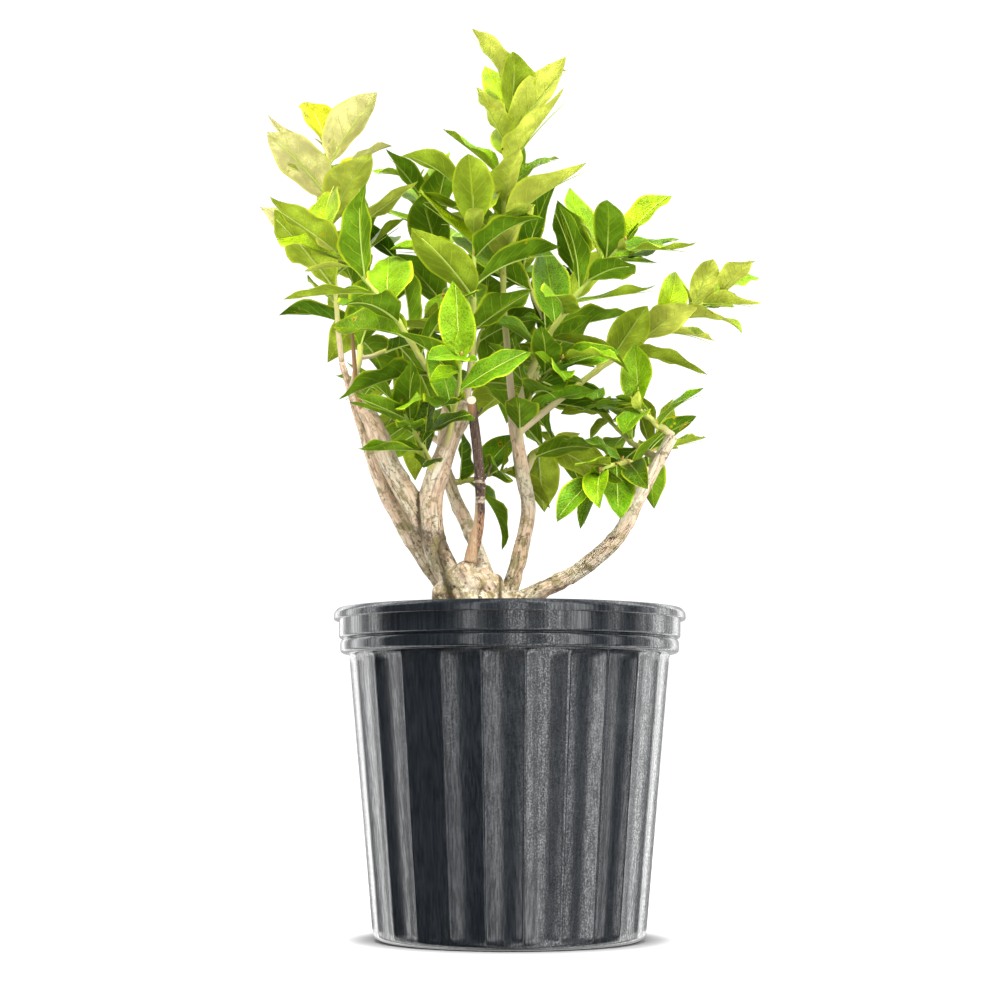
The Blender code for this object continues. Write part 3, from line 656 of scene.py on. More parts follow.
def foot_path(name):
    """The flared root of a limb: a quadratic curve from under the soil to its first knot."""
    top, after = limb_at(name, [0.0, 0.02])
    way = unit((after - top)[:3])
    heart = np.array([*FOOT_CENTRE_MM, SOIL_TOP_MM - FOOT_SINK_MM])
    low = np.array([*(heart[:2] + FOOT_SPREAD * (top[:2] - heart[:2])), heart[2]])
    bend = top[:3] - 0.5 * (top[2] - low[2]) * way
    t = np.linspace(0, 1, FOOT_ROWS)[:, None]
    points = quadratic(low, bend, top[:3], t)
    return points, top[3] / 2 * (FOOT_FLARE + (1 - FOOT_FLARE) * t[:, 0])


def joined(shapes):
    """Several (corners, faces) put together as one."""
    corners, faces, start = [], [], 0
    for own_corners, own_faces in shapes:
        corners.append(own_corners)
        faces += [tuple(start + k for k in face) for face in own_faces]
        start += len(own_corners)
    return np.concatenate(corners), faces


def fused(name, corners, faces, voxel):
    """One skin round shapes that overlap, from Blender's voxel remesh: its corners and faces as arrays."""
    mesh = bpy.data.meshes.new(name)
    mesh.from_pydata(corners, [], faces)
    helper = bpy.data.objects.new(name, mesh)
    bpy.context.scene.collection.objects.link(helper)
    remesh = helper.modifiers.new("skin", "REMESH")
    remesh.mode = "VOXEL"
    remesh.voxel_size = voxel
    bpy.context.view_layer.update()
    skin = bpy.data.meshes.new_from_object(helper.evaluated_get(bpy.context.evaluated_depsgraph_get()))
    bpy.data.objects.remove(helper)
    points = np.empty(len(skin.vertices) * 3)
    skin.vertices.foreach_get("co", points)
    quads = np.array([tuple(face.vertices) for face in skin.polygons])
    bpy.data.meshes.remove(skin)
    return points.reshape(-1, 3), quads


def smoothed(points, quads, rounds):
    """Moves each corner half way to the mean of its neighbours, several times over."""
    ends = np.concatenate([quads[:, [0, 1]], quads[:, [1, 2]], quads[:, [2, 3]], quads[:, [3, 0]]])
    ends = np.concatenate([ends, ends[:, ::-1]])
    count = np.bincount(ends[:, 0], minlength=len(points))[:, None]
    for _ in range(rounds):
        total = np.stack([np.bincount(ends[:, 0], points[ends[:, 1], k], len(points)) for k in range(3)], -1)
        points = 0.5 * points + 0.5 * total / count
    return points


def normals_of(points, quads):
    """Outward direction at each corner: the sum of its faces' directions."""
    cross = np.cross(points[quads[:, 2]] - points[quads[:, 0]], points[quads[:, 3]] - points[quads[:, 1]])
    flat = quads.reshape(-1)
    each = np.repeat(cross, 4, 0)
    return unit(np.stack([np.bincount(flat, each[:, k], len(points)) for k in range(3)], -1))


def lie_on_limbs(points, names):
    """For each point, its place on the nearest limb: round it as x and y and along it as z, in millimetres.

    The second result is how much farther the next limb is, which falls to nothing in the seam between two.
    """
    best = np.full(len(points), np.inf)
    second = best.copy()
    lie = np.zeros((len(points), 3))
    for number, name in enumerate(names):
        path = limb_at(name, np.linspace(0, 1, LIMB_STEPS))
        way = unit(path[1] - path[0])[:3]
        below = path[0, :3] - np.linspace(ROOT_MM, 1, ROOT_STEPS)[:, None] * way
        path = np.concatenate([np.column_stack([below, np.full(ROOT_STEPS, path[0, 3])]), path])
        along = np.concatenate([[0], np.cumsum(np.linalg.norm(np.diff(path[:, :3], axis=0), axis=1))])
        gaps = np.linalg.norm(points[:, None] - path[None, :, :3], axis=-1)
        near = gaps.argmin(1)
        ways = unit(np.gradient(path[:, :3], axis=0))[near]
        front = front_of(ways)
        out = points - path[near, :3]
        round_it = np.stack([(out * axis).sum(1) for axis in (front, np.cross(ways, front), ways)], -1)
        round_it[:, 2] += along[near]
        gap = gaps.min(1) - path[near, 3] / 2
        closer = gap < best
        second = np.where(closer, best, np.minimum(second, gap))
        lie[closer] = round_it[closer] + GRAIN_APART_MM * number
        best[closer] = gap[closer]
    return lie, second - best


def add_attribute(obj, name, vectors):
    layer = obj.data.attributes.new(name, "FLOAT_VECTOR", "POINT")
    layer.data.foreach_set("vector", np.asarray(vectors, np.float32).ravel())


live = [name for name in LIMBS_MM if name not in DEAD]
shapes = []
for name in live:
    path = limb_at(name, np.linspace(0, 1, LIMB_ROWS))
    swell = 1 + 0.07 * lumps(path[:, :3] / 16.0, 8)
    shapes.append(closed_tube(path[:, :3], path[:, 3] / 2 * swell, LIMB_AROUND))
    if name not in FORKED:
        shapes.append(closed_tube(*foot_path(name), LIMB_AROUND))
shapes.append(closed_tube(*foot_path("dead_stub"), LIMB_AROUND))
for x, y, z, size in BURLS_MM:
    t = np.linspace(0.02, math.pi - 0.02, BURL_ROWS)
    axis = np.stack([0 * t + x, 0 * t + y, z - size * np.cos(t)], -1)
    shapes.append(closed_tube(axis, size * np.sin(t), LIMB_AROUND))
points, quads = fused("bark_skin", *joined(shapes), BARK_VOXEL_MM)
points = smoothed(points, quads, BARK_SMOOTHING)
lie, seam = lie_on_limbs(points, live)
strips = lumps(lie * (0.55, 0.55, 0.07), 21) + 0.6 * lumps(lie * (1.1, 1.1, 0.16), 22)
plates = np.clip(3.0 * lumps(lie * (0.22, 0.22, 0.055), 23), -1, 1)
knots = np.clip(lumps(lie * (0.12, 0.12, 0.12), 24) - 0.25, 0, 1)
crown = np.clip((CROWN_TOP_MM - points[:, 2]) / CROWN_FADE_MM, 0, 1)
creases = np.clip(1 - np.abs(lumps(points / 9.0, 27)) / 0.16, 0, 1)
relief = STRIP_MM * strips + PLATE_MM * plates + KNOT_MM * knots
bulges = CROWN_LUMP_MM * lumps(points / 8.0, 25) + CROWN_FINE_MM * lumps(points / 3.2, 26)
relief = relief + crown * (bulges - CREASE_MM * creases)
relief = relief - SEAM_DEEP_MM * np.clip(1 - seam / SEAM_MM, 0, 1) * (points[:, 2] > SEAM_FLOOR_MM)
points = points + (relief - BARK_SINK_MM)[:, None] * normals_of(points, quads)

bark = Finish("pale_bark", {"Roughness": 0.8, "Specular IOR Level": 0.35})
grain = bark.attribute("grain")
patch = bark.noise(bark.stretched(grain, (0.08, 0.08, 0.03)), 1.0)
strip = bark.noise(bark.stretched(grain, (0.9, 0.9, 0.09)), 1.0, 4.0, 0.65)
fine = bark.noise(bark.stretched(grain, (2.4, 2.4, 0.5)), 1.0, 3.0, 0.7)
crack = bark.noise(bark.stretched(grain, (0.22, 0.22, 0.028)), 1.0, 4.0, 0.6)
spot = bark.cells(bark.stretched(grain, (0.24, 0.24, 0.13)), 1.0)
broad = bark.noise(bark.stretched(grain, (0.05, 0.05, 0.012)), 1.0)
moss = bark.mottle(120.0, 5.0, 0.75)
pit = bark.mottle(210.0, 4.0, 0.7)
line = abs(crack - 0.5)
scar = (bark.parts(grain)[2] * (1 / SCAR_STEP_MM) + patch * 1.6 + fine * 0.03).wave().step(0.955, 0.985)
seam_at, crease_painted_shade, _ = bark.parts(bark.attribute("seam"))
# The seams where two limbs grow together are coloured dark, broken up by the moss mottling: painted shade.
seam_painted_shade = (seam_at + fine * 4.0 + moss * 6.0 - 5.0).step(2.2, 0.8)
low = bark.parts(bark.place())[2].step(0.360, 0.262)
skin = bark.painted(
    (0.72, 0.52, 0.36),
    (patch.step(0.35, 0.65), (0.80, 0.72, 0.54)),
    (strip.step(0.50, 0.72) * 0.75, (0.50, 0.29, 0.16)),
    (strip.step(0.45, 0.28) * 0.6, (0.92, 0.86, 0.72)),
    (broad.step(0.50, 0.62) * fine.step(0.35, 0.65) * 0.55, (0.40, 0.33, 0.14)),
    (spot.step(0.30, 0.1) * fine.step(0.35, 0.6) * 0.8, (0.34, 0.15, 0.07)),
    (line.step(0.012, 0.003) * broad.step(0.46, 0.56) * 0.9, (0.06, 0.042, 0.025)),
    (scar * fine.step(0.4, 0.55) * 0.8, (0.13, 0.08, 0.04)),
    # painted shade in the seams between limbs
    (seam_painted_shade * 0.85, (0.085, 0.055, 0.025)),
    # painted shade in the crown's creases, mottled by the moss
    ((crease_painted_shade + moss - 0.5).step(0.35, 0.75) * 0.75, (0.12, 0.075, 0.035)),
    ((moss + low * 0.06).step(0.53, 0.63) * 0.7, (0.24, 0.20, 0.065)),
    ((pit + low * 0.04).step(0.65, 0.71) * 0.85, (0.045, 0.030, 0.015)),
)
strips_seen = strip * 0.7 + fine * 0.6 + line.step(0.0, 0.02) * 0.8
bark.surface({
    "Base Color": skin,
    "Normal": bark.bump(strips_seen - pit.step(0.6, 0.7) - scar * 0.5, 0.0011),
})
stems = add_piece("bark_stems", points * MM, quads, bark)
add_attribute(stems, "grain", lie)
seam = np.where(points[:, 2] > SEAM_FLOOR_MM, seam, FAR_MM)
add_attribute(stems, "seam", np.column_stack([seam, crown * creases, 0 * seam]))
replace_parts(stems, "root_crown", *live)


# The dead wood: a dry purple-brown stub with two broken twiglets, which was cut off at a slant and shows a
# pale end, and a thin dead twig on the left. Both have lost their leaves and stay on the bush.
STUB_SCARS = (0.3335, 0.3215, 0.3190)  # heights in metres of the pale rings that old bud scales left
STUB_TWIGLETS_MM = (  # start, bend, end and radius
    ((-22.0, -34.5, 329), (-17.5, -36.0, 334), (-13.0, -38.0, 345), 1.1),
    ((-25.5, -38.0, 380), (-21.5, -39.5, 383), (-20.0, -40.0, 386), 1.4),
)
TWIGLET_TAPER = 0.45
CUT_END_MM = 1.2
CUT_RINGS = ((-0.6, 0.86), (0.0, 0.98), (0.25, 0.93), (0.55, 0.55), (0.6, 0.02))  # shares: height, radius
CUT_SLANT = 0.95  # how far the cut falls towards the front, as a slope
CUT_FROM = 0.955  # share of the stub where the slant begins to show
RIB_LENGTH_MM = 120.0  # the length that a dead limb's ribs are worked out for


def slant(corners, centre, way, share=1.0):
    """Moves corners along the stub by how far they lie behind its middle, so that its end faces forwards."""
    return corners + (CUT_SLANT * share * (corners - centre)[..., 1:2]) * way


def dead_limb(name, sides, relief):
    """A limb's rod with lengthwise ribs: its radius rises and falls round it by smooth noise."""
    steps = np.linspace(0, 1, LIMB_STEPS)
    path = limb_at(name, steps)
    rings = tube_grid(path[:, :3], path[:, 3] / 2, sides)
    out = unit(rings - path[:, None, :3])
    along = np.repeat(steps[:, None, None] * RIB_LENGTH_MM, sides, 1)
    ribs = lumps(np.concatenate([out[..., :2] * 2.2, along * 0.05], -1), 31)
    bumps = lumps(np.concatenate([out[..., :2] * 1.4, along * 0.16], -1), 32)
    rings = rings + out * (relief * (ribs + 0.8 * bumps))[..., None]
    if name == "dead_stub":
        share = np.clip((steps - CUT_FROM) / (1 - CUT_FROM), 0, 1)[:, None, None]
        rings = slant(rings, path[:, None, :3], unit(path[-1, :3] - path[-2, :3]), share)
    corners = np.concatenate([rings.reshape(-1, 3), path[:1, :3], path[-1:, :3]])
    _, faces = closed_tube(path[:, :3], path[:, 3], sides)
    return corners, faces


def twiglet(start, bend, end, radius):
    """A thin rod along a quadratic curve from start to end, drawn towards bend, which tapers."""
    t = np.linspace(0, 1, 8)[:, None]
    points = quadratic(*np.array([start, bend, end], float), t)
    return closed_tube(points, radius + (TWIGLET_TAPER - 1) * radius * t[:, 0], 8)


dead = Finish("dead_bark", {"Roughness": 0.7, "Specular IOR Level": 0.4})
streak = dead.mottle(900.0, 4.0, 0.65, (1, 1, 0.12))
fleck = dead.mottle(480.0, rough=0.7)
side_at, _, height_at = dead.parts(dead.place())
dry = dead.painted(
    (0.026, 0.015, 0.011),
    (streak.step(0.3, 0.7), (0.135, 0.080, 0.055)),
    (fleck.step(0.60, 0.70) * 0.85, (0.52, 0.42, 0.32)),
    (height_at.step(0.322, 0.312) * side_at.step(-0.0225, -0.0255) * 0.9, (0.62, 0.48, 0.30)),
    (height_at.step(0.316, 0.300) * streak.step(0.42, 0.56) * 0.85, (0.48, 0.26, 0.13)),
    (height_at.step(0.374, 0.388) * side_at.step(-0.0235, -0.0275) * 0.8, (0.44, 0.24, 0.12)),
)
for height in STUB_SCARS:
    ring = abs(height_at + fleck * 0.002 - height).step(0.0016, 0.0006)
    dry = dead.blend(ring * fleck.step(0.38, 0.52) * 0.8, dry, (0.52, 0.42, 0.30))
dead.surface({"Base Color": dry, "Normal": dead.bump(streak + fleck * 0.6, 0.0008)})
rods = [dead_limb("dead_stub", sides=24, relief=0.42)]
rods += [twiglet(*row) for row in STUB_TWIGLETS_MM]
corners, faces = joined(rods)
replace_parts(add_piece("dead_stub_wood", corners * MM, faces, dead), "dead_stub")
corners, faces = dead_limb("dead_twig", sides=14, relief=0.18)
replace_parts(add_piece("dead_twig_wood", corners * MM, faces, dead), "dead_twig")

# The stub's cut end: bare pale wood with a blunt rim, made as a thin cap that closes the slanting cut and
# so faces the front.
cut = Finish("cut_wood", {"Roughness": 0.75})
rings_seen = cut.mottle(700.0)
cut.surface({
    "Base Color": cut.blend(rings_seen.step(0.35, 0.7), (0.78, 0.66, 0.50), (0.90, 0.82, 0.70)),
    "Normal": cut.bump(rings_seen, 0.0004),
})
path = limb_at("dead_stub", [0.985, 1.0])
way = unit((path[1] - path[0])[:3])
rise, share = np.array(CUT_RINGS).T
corners, faces = closed_tube(path[1, :3] + CUT_END_MM * rise[:, None] * way, path[1, 3] / 2 * share, 24)
corners = slant(corners, path[1, :3], way)
add_piece("stub_cut_end", corners * MM, faces, cut)


# The foliage: green shoots of this year and last, which grow from the limbs by the same rule as the frame's
# masses. Each leaf of the rule that the frame holds is made again here, finely, and each shoot ends in small
# young leaves.
Shoot = namedtuple(
    "Shoot", "name limb share bend tip leaves leaf_size first phase turn spread close twigs seed"
)
Axis = namedtuple("Axis", "base bend tip leaves first phase")
SHOOTS = [Shoot(*row) for row in (
    ("top_left", "outer_left", 1, (-136, 24, 508), (-140, 33, 596), 13, 79, 0.29, 186, 151.9, 58, 34, 0, 1757),
    ("arch_left", "main", 0.86, (-74, -62, 452), (-132, -63, 504), 11, 76, 0.14, 144, 140.5, 53, 38, 0, 3800),
    ("centre_left", "main", 1, (-22, -41, 461), (-28, -32, 541), 11, 79, 0.29, 248, 148.7, 57, 46, 0, 2597),
    ("leader", "middle", 1, (-12, -3, 519), (3, -17, 627), 17, 75, 0.39, 231, 138.2, 58, 32, 0, 3206),
    ("right_fore", "middle", 0.9, (27, -14, 461), (85, -50, 508), 12, 70, 0.26, 162, 136.1, 74, 33, 0, 1604),
    ("far_right", "middle", 0.82, (87, 36, 447), (161, 17, 483), 13, 61, 0.38, 194, 131.6, 51, 28, 0, 2296),
    ("right_up", "right", 1, (109, -19, 376), (92, -20, 393), 6, 60, 0.23, 256, 149.2, 84, 40, 0, 249),
    ("right_in", "right", 0.8, (81, -19, 358), (63, -48, 334), 8, 56, 0.25, 195, 145.8, 80, 16, 0, 3563),
    ("mid_right", "middle", 0.74, (7, -5, 405), (38, -44, 420), 8, 63, 0.17, 351, 128.4, 50, 22, 0, 3626),
    ("mid_left", "main", 0.55, (-59, -24, 353), (-77, -68, 379), 9, 58, 0.32, 15, 139.0, 53, 23, 0, 1239),
    ("behind_stub", "back", 0.55, (-39, 41, 338), (6, 33, 352), 7, 60, 0.16, 182, 137.5, 79, 36, 0, 76),
    ("back_left", "left", 1, (-112, 47, 452), (-117, 107, 513), 11, 69, 0.40, 13, 135.2, 81, 24, 1, 3548),
    ("back_mid", "back", 1, (-45, 104, 513), (-72, 114, 594), 13, 66, 0.24, 44, 136.0, 68, 28, 2, 2888),
    ("back_right", "middle", 0.86, (28, 83, 459), (65, 99, 534), 12, 75, 0.12, 101, 143.1, 54, 41, 2, 812),
    ("back_low", "back", 0.9, (-28, 110, 447), (5, 158, 463), 9, 66, 0.22, 264, 147.0, 64, 32, 1, 479),
    ("back_out", "back", 0.75, (-91, 105, 404), (-105, 133, 437), 9, 58, 0.23, 114, 148.5, 58, 44, 1, 2318),
    ("front_low", "main", 0.66, (-37, -48, 394), (-35, -94, 414), 7, 71, 0.37, 211, 137.7, 84, 35, 0, 1963),
    ("right_back", "right", 0.88, (90, 24, 367), (70, 74, 405), 8, 54, 0.19, 110, 151.2, 72, 24, 1, 3926),
    ("mid_back", "middle", 0.6, (25, 39, 376), (37, 87, 379), 7, 67, 0.29, 32, 126.2, 77, 40, 0, 689),
)]
SHOOT_THICK_MM = 6.0
SHOOT_TIP_MM = 2.0
SHOOT_SHARE = 0.85  # of the thickness of the limb that carries it
TWIG_THICK = 0.6
TWIG_LEAVES = 5
TWIG_FIRST = 0.3  # share of the shoot at which its first side twig leaves
TWIG_STEP = 0.22
TWIG_PHASE = 70.0  # degrees, as are the next two
TWIG_TURN = 137.0
TWIG_SWAY = 20.0
TWIG_LEAN = 0.55
TWIG_REACH = (0.42, 0.55)
TWIG_BEND = 0.55
TWIG_END = 0.5
TWIG_RISE = 0.9
TWIG_LEAF_FIRST = 0.35
TWIG_LEAF_TURN = 200.0
LEAF_CROWDING = 0.92  # below 1, the leaves lie wider apart at the foot of a shoot
LEAF_SWAY = 16.0  # degrees, as are the next two
LEAF_LIFT = 11.0
LEAF_ROLL = 24.0
LEAF_SMALLEST = 0.62
LEAF_GROWTH = (0.12, 0.72)  # a leaf's size follows sin(pi (first + second t)) up its shoot
LEAF_SCATTER = 0.13
LEAF_WIDTH = 0.47
LEAF_WIDTH_SCATTER = 0.06
LEAF_DROOP = 26.0  # degrees, as is the next
LEAF_DROOP_SCATTER = 22.0
LEAF_FACE = (0.6, 0.8)  # what the shoot's way and what upwards count for in how a leaf faces
LEAF_FOLD = math.radians(22)
TRIES = (  # degrees that a leaf swings aside and rises until it is clear of what stands in its way
    (0, 0), (13, 0), (-13, 0), (0, 12), (0, -12), (26, 0), (-26, 0), (15, 12), (-15, 12), (40, -8), (-40, -8),
)
FOUND_MM = 0.4  # a leaf is in the frame where a corner of its mass lies this near to its tip
LEFT_OUT = (("front_low", 0, 4),)  # it would hang in front of the dead stub's cut end
SHOOT_SEED = 5000  # added to the shoot's own seed
LEAF_SEED = 97  # times the axis's number, likewise
UP = np.array([0.0, 0.0, 1.0])
Leaf = namedtuple("Leaf", "root along up length width droop")
Grown = namedtuple("Grown", "leaf shoot axis t chance")


def axis_point(axis, t):
    return quadratic(axis.base, axis.bend, axis.tip, t)


def axis_way(axis, t):
    return unit((1 - t) * (axis.bend - axis.base) + t * (axis.tip - axis.bend))


def turned_about(way, degrees):
    """The direction square to way, at an angle counted from the front."""
    front = front_of(way)
    angle = math.radians(degrees)
    return math.cos(angle) * front + math.sin(angle) * np.cross(way, front)


def axes_of(shoot):
    """The shoot's own axis, then its side twigs, which leave it in turn and bend upwards."""
    rnd = random.Random(shoot.seed + SHOOT_SEED)
    base = limb_at(shoot.limb + "_stem", shoot.share)[0, :3]
    bend, tip = np.array(shoot.bend, float), np.array(shoot.tip, float)
    main = Axis(base, bend, tip, shoot.leaves, shoot.first, shoot.phase)
    axes = [main]
    reach = np.linalg.norm(main.tip - main.base)
    for k in range(shoot.twigs):
        t = TWIG_FIRST + TWIG_STEP * k
        way = axis_way(main, t)
        turn = shoot.phase + TWIG_PHASE + TWIG_TURN * k + rnd.uniform(-TWIG_SWAY, TWIG_SWAY)
        out = unit(TWIG_LEAN * way + turned_about(way, turn))
        start = axis_point(main, t)
        length = reach * rnd.uniform(*TWIG_REACH)
        bend = start + TWIG_BEND * length * out
        tip = bend + TWIG_END * length * unit(out + TWIG_RISE * UP)
        axes.append(Axis(start, bend, tip, TWIG_LEAVES, TWIG_LEAF_FIRST, shoot.phase + TWIG_LEAF_TURN * k))
    return axes


def leaves_of(shoot, axis, number):
    """Each leaf of one axis: its place there, and tries of which the first is the rule's own place."""
    rnd = random.Random(shoot.seed + LEAF_SEED * number)
    for i in range(axis.leaves):
        t = axis.first + (1 - axis.first) * (i / (axis.leaves - 1)) ** LEAF_CROWDING
        turn, lift, size, roll, broad, curl = [rnd.uniform(-1, 1) for _ in range(6)]
        way = axis_way(axis, min(t, 0.999))
        grown = math.sin(math.pi * (LEAF_GROWTH[0] + LEAF_GROWTH[1] * t))
        length = shoot.leaf_size * (LEAF_SMALLEST + (1 - LEAF_SMALLEST) * grown) * (1 + LEAF_SCATTER * size)
        width = length * (LEAF_WIDTH + LEAF_WIDTH_SCATTER * broad)
        droop = math.radians(LEAF_DROOP + LEAF_DROOP_SCATTER * curl)
        tilt = math.radians(LEAF_ROLL * roll)
        tries = []
        for swing, raised in TRIES:
            side = turned_about(way, axis.phase + shoot.turn * i + LEAF_SWAY * turn + swing)
            pitch = math.radians(shoot.spread + (shoot.close - shoot.spread) * t + LEAF_LIFT * lift + raised)
            along = unit(math.cos(pitch) * way + math.sin(pitch) * side)
            face = LEAF_FACE[0] * way + LEAF_FACE[1] * UP
            up = unit(face - (face @ along) * along + 1e-3 * way)
            up = math.cos(tilt) * up + math.sin(tilt) * np.cross(along, up)
            up = unit(up - (up @ along) * along)
            tries.append(Leaf(axis_point(axis, t), along, up, length, width, droop))
        yield t, tries


def arched(root, along, up, run, angle):
    """A leaf's middle line and the way up from it, where its arc of radius run has turned down by angle a.

    middle = root + run (sin a along - (1 - cos a) up), rise = cos a up + sin a along
    """
    middle = root + run * (np.sin(angle) * along - (1 - np.cos(angle)) * up)
    return middle, np.cos(angle) * up + np.sin(angle) * along


def tip_of(leaf):
    return arched(leaf.root, leaf.along, leaf.up, leaf.length / leaf.droop, leaf.droop)[0]


def corners_of(node):
    """The corners of one of the frame's meshes, in millimetres."""
    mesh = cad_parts[node].data
    points = np.empty(len(mesh.vertices) * 3)
    mesh.vertices.foreach_get("co", points)
    return points.reshape(-1, 3) / MM


def distance(points, place):
    return np.linalg.norm(points - place, axis=1).min()


chance = random.Random(41)
grown, stalks = [], []
for shoot in SHOOTS:
    packed = corners_of(shoot.name + "_leaves")
    for number, axis in enumerate(axes_of(shoot)):
        if distance(packed, axis.tip) > SHOOT_TIP_MM:
            continue
        stalks.append((shoot, axis, number))
        for i, (t, tries) in enumerate(leaves_of(shoot, axis, number)):
            found = [leaf for leaf in tries if distance(packed, tip_of(leaf)) < FOUND_MM]
            if found and (shoot.name, number, i) not in LEFT_OUT:
                grown.append(Grown(found[0], shoot, number, t, chance.random()))

# The young leaves: the newest few of each shoot, small and soft, which stand close round its end. They are
# made and coloured with all the others below.
YOUNG = 4  # and one fewer on a side twig
YOUNG_BACK = 0.16  # share of the shoot that they are spread over
YOUNG_TURN = 137.5
YOUNG_PHASE = 61
YOUNG_SIZE = (0.26, 0.46)
YOUNG_SIZE_SCATTER = (0.85, 1.15)
YOUNG_WIDTH = 0.40
YOUNG_PITCH = (18, 52)
YOUNG_PITCH_SCATTER = (-8, 8)
YOUNG_DROOP = (12, 40)
YOUNG_AT = 1.2  # counted as past the tip, which colours them and leaves them without buds
for shoot, axis, number in stalks:
    for k in range(YOUNG - (number > 0)):
        share = k / (YOUNG - 1)
        t = 1 - YOUNG_BACK * share
        way = axis_way(axis, min(t, 0.999))
        side = turned_about(way, axis.phase + YOUNG_PHASE + YOUNG_TURN * k)
        pitch = YOUNG_PITCH[0] + (YOUNG_PITCH[1] - YOUNG_PITCH[0]) * share
        pitch = math.radians(pitch + chance.uniform(*YOUNG_PITCH_SCATTER))
        along = unit(math.cos(pitch) * way + math.sin(pitch) * side)
        up = unit(way - (way @ along) * along)
        length = shoot.leaf_size * (YOUNG_SIZE[0] + (YOUNG_SIZE[1] - YOUNG_SIZE[0]) * share)
        length = length * chance.uniform(*YOUNG_SIZE_SCATTER)
        droop = math.radians(chance.uniform(*YOUNG_DROOP))
        leaf = Leaf(axis_point(axis, t), along, up, length, YOUNG_WIDTH * length, droop)
        grown.append(Grown(leaf, shoot, number, YOUNG_AT, chance.random()))

# The green shoots: soft stems, brown where they leave the wood, with a swelling at each leaf. The leaf stalks
# run on as ribs under the leaves, and a small brown bud sits in the corner between each stalk and its shoot.
TWIG_SIDES = 10
TWIG_ROWS = 64
TWIG_SWELL = 0.22
TWIG_SWELL_SHARE = 0.012  # of the shoot's length, for half a swelling
TWIG_WANDER_MM = 0.9
STALK_SIDES = 6
STALK_ROWS = 12
STALK_FROM, STALK_TO = -0.02, 0.93  # shares of the leaf's length
STALK_LEAF_MM = 70.0  # length of the leaf whose stalk is as thick as the next line says
STALK_RADII_MM = (0.95, 0.20)
BUD_ROWS = 6
BUD_HALF_MM = (2.6, 1.15)  # along the bud and across it
BUD_PLACE_MM = (2.4, 0.8)  # from the stalk's root along the bud and along the leaf
BUD_LEAN = (0.75, 0.35)  # towards the leaf's upper side and along it
BUD_AT, STALK_AT = 1.3, 1.6  # values of "lie", which runs from 0 to 1 along a shoot
stem_shapes, stem_lie = [], []


def add_stem(points, radii, sides, values):
    """Adds a rod, and the value of lie at each of its rings."""
    stem_shapes.append(closed_tube(points, radii, sides))
    stem_lie.append(np.append(np.repeat(values, sides), (values[0], values[-1])))


for shoot, axis, number in stalks:
    thick = min(SHOOT_THICK_MM, SHOOT_SHARE * limb_at(shoot.limb + "_stem", shoot.share)[0, 3])
    thick = thick * (TWIG_THICK if number else 1)
    t = np.linspace(0, 1, TWIG_ROWS)
    places = [g.t for g in grown if g.shoot is shoot and g.axis == number and g.t <= 1]
    swell = sum(np.exp(-((t - place) / TWIG_SWELL_SHARE) ** 2) for place in places) + 0 * t
    radii = (thick + (SHOOT_TIP_MM - thick) * t) / 2 * (1 + TWIG_SWELL * np.clip(swell, 0, 1))
    wander = [lumps(np.column_stack([t * 7, 0 * t + shoot.seed + number, 0 * t + k]), 51) for k in range(3)]
    points = axis_point(axis, t[:, None]) + TWIG_WANDER_MM * np.stack(wander, -1) * (t * (1 - t) * 4)[:, None]
    add_stem(points, radii, TWIG_SIDES, t)
for g in grown:
    leaf = g.leaf
    s = np.linspace(STALK_FROM, STALK_TO, STALK_ROWS)
    middle, rise = arched(leaf.root, leaf.along, leaf.up, leaf.length / leaf.droop, (leaf.droop * s)[:, None])
    thick, thin = STALK_RADII_MM
    radii = leaf.length / STALK_LEAF_MM * (thick + (thin - thick) * np.clip(s, 0, 1) ** 0.6)
    add_stem(middle - (0.5 * radii)[:, None] * rise, radii, STALK_SIDES, np.full(STALK_ROWS, STALK_AT))
    if g.t <= 1:
        way = unit(BUD_LEAN[0] * leaf.up + BUD_LEAN[1] * leaf.along)
        heart = leaf.root + BUD_PLACE_MM[0] * way + BUD_PLACE_MM[1] * leaf.along
        reach = np.linspace(-1, 1, BUD_ROWS)
        radii = BUD_HALF_MM[1] * np.sqrt(1.02 - reach**2) * (1 - 0.3 * reach)
        add_stem(heart + BUD_HALF_MM[0] * reach[:, None] * way, radii, STALK_SIDES, np.full(BUD_ROWS, BUD_AT))

shoot_finish = Finish("green_shoot", {"Roughness": 0.5, "Specular IOR Level": 0.45})
lie = shoot_finish.parts(shoot_finish.attribute("lie"))[0]
mottle = shoot_finish.mottle(350.0)
lines = shoot_finish.mottle(900.0, stretch=(1, 1, 0.15))
green = shoot_finish.painted(
    (0.56, 0.44, 0.29),
    ((lie + mottle * 0.12).step(0.10, 0.42), (0.44, 0.45, 0.10)),
    (lie.step(0.3, 1.0), (0.46, 0.56, 0.10)),
    (lie.step(1.1, BUD_AT), (0.48, 0.28, 0.08)),
    (lie.step(1.4, STALK_AT), (0.42, 0.52, 0.10)),
    (mottle.step(0.58, 0.75) * 0.3, (0.40, 0.20, 0.05)),
)
shoot_finish.surface({"Base Color": green, "Normal": shoot_finish.bump(lines + mottle, 0.0003)})
corners, faces = joined(stem_shapes)
shoots = add_piece("green_shoots", corners * MM, faces, shoot_finish)
add_attribute(shoots, "lie", np.repeat(np.concatenate(stem_lie)[:, None], 3, 1))
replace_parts(shoots, *[shoot.name + "_leaves" for shoot in SHOOTS])

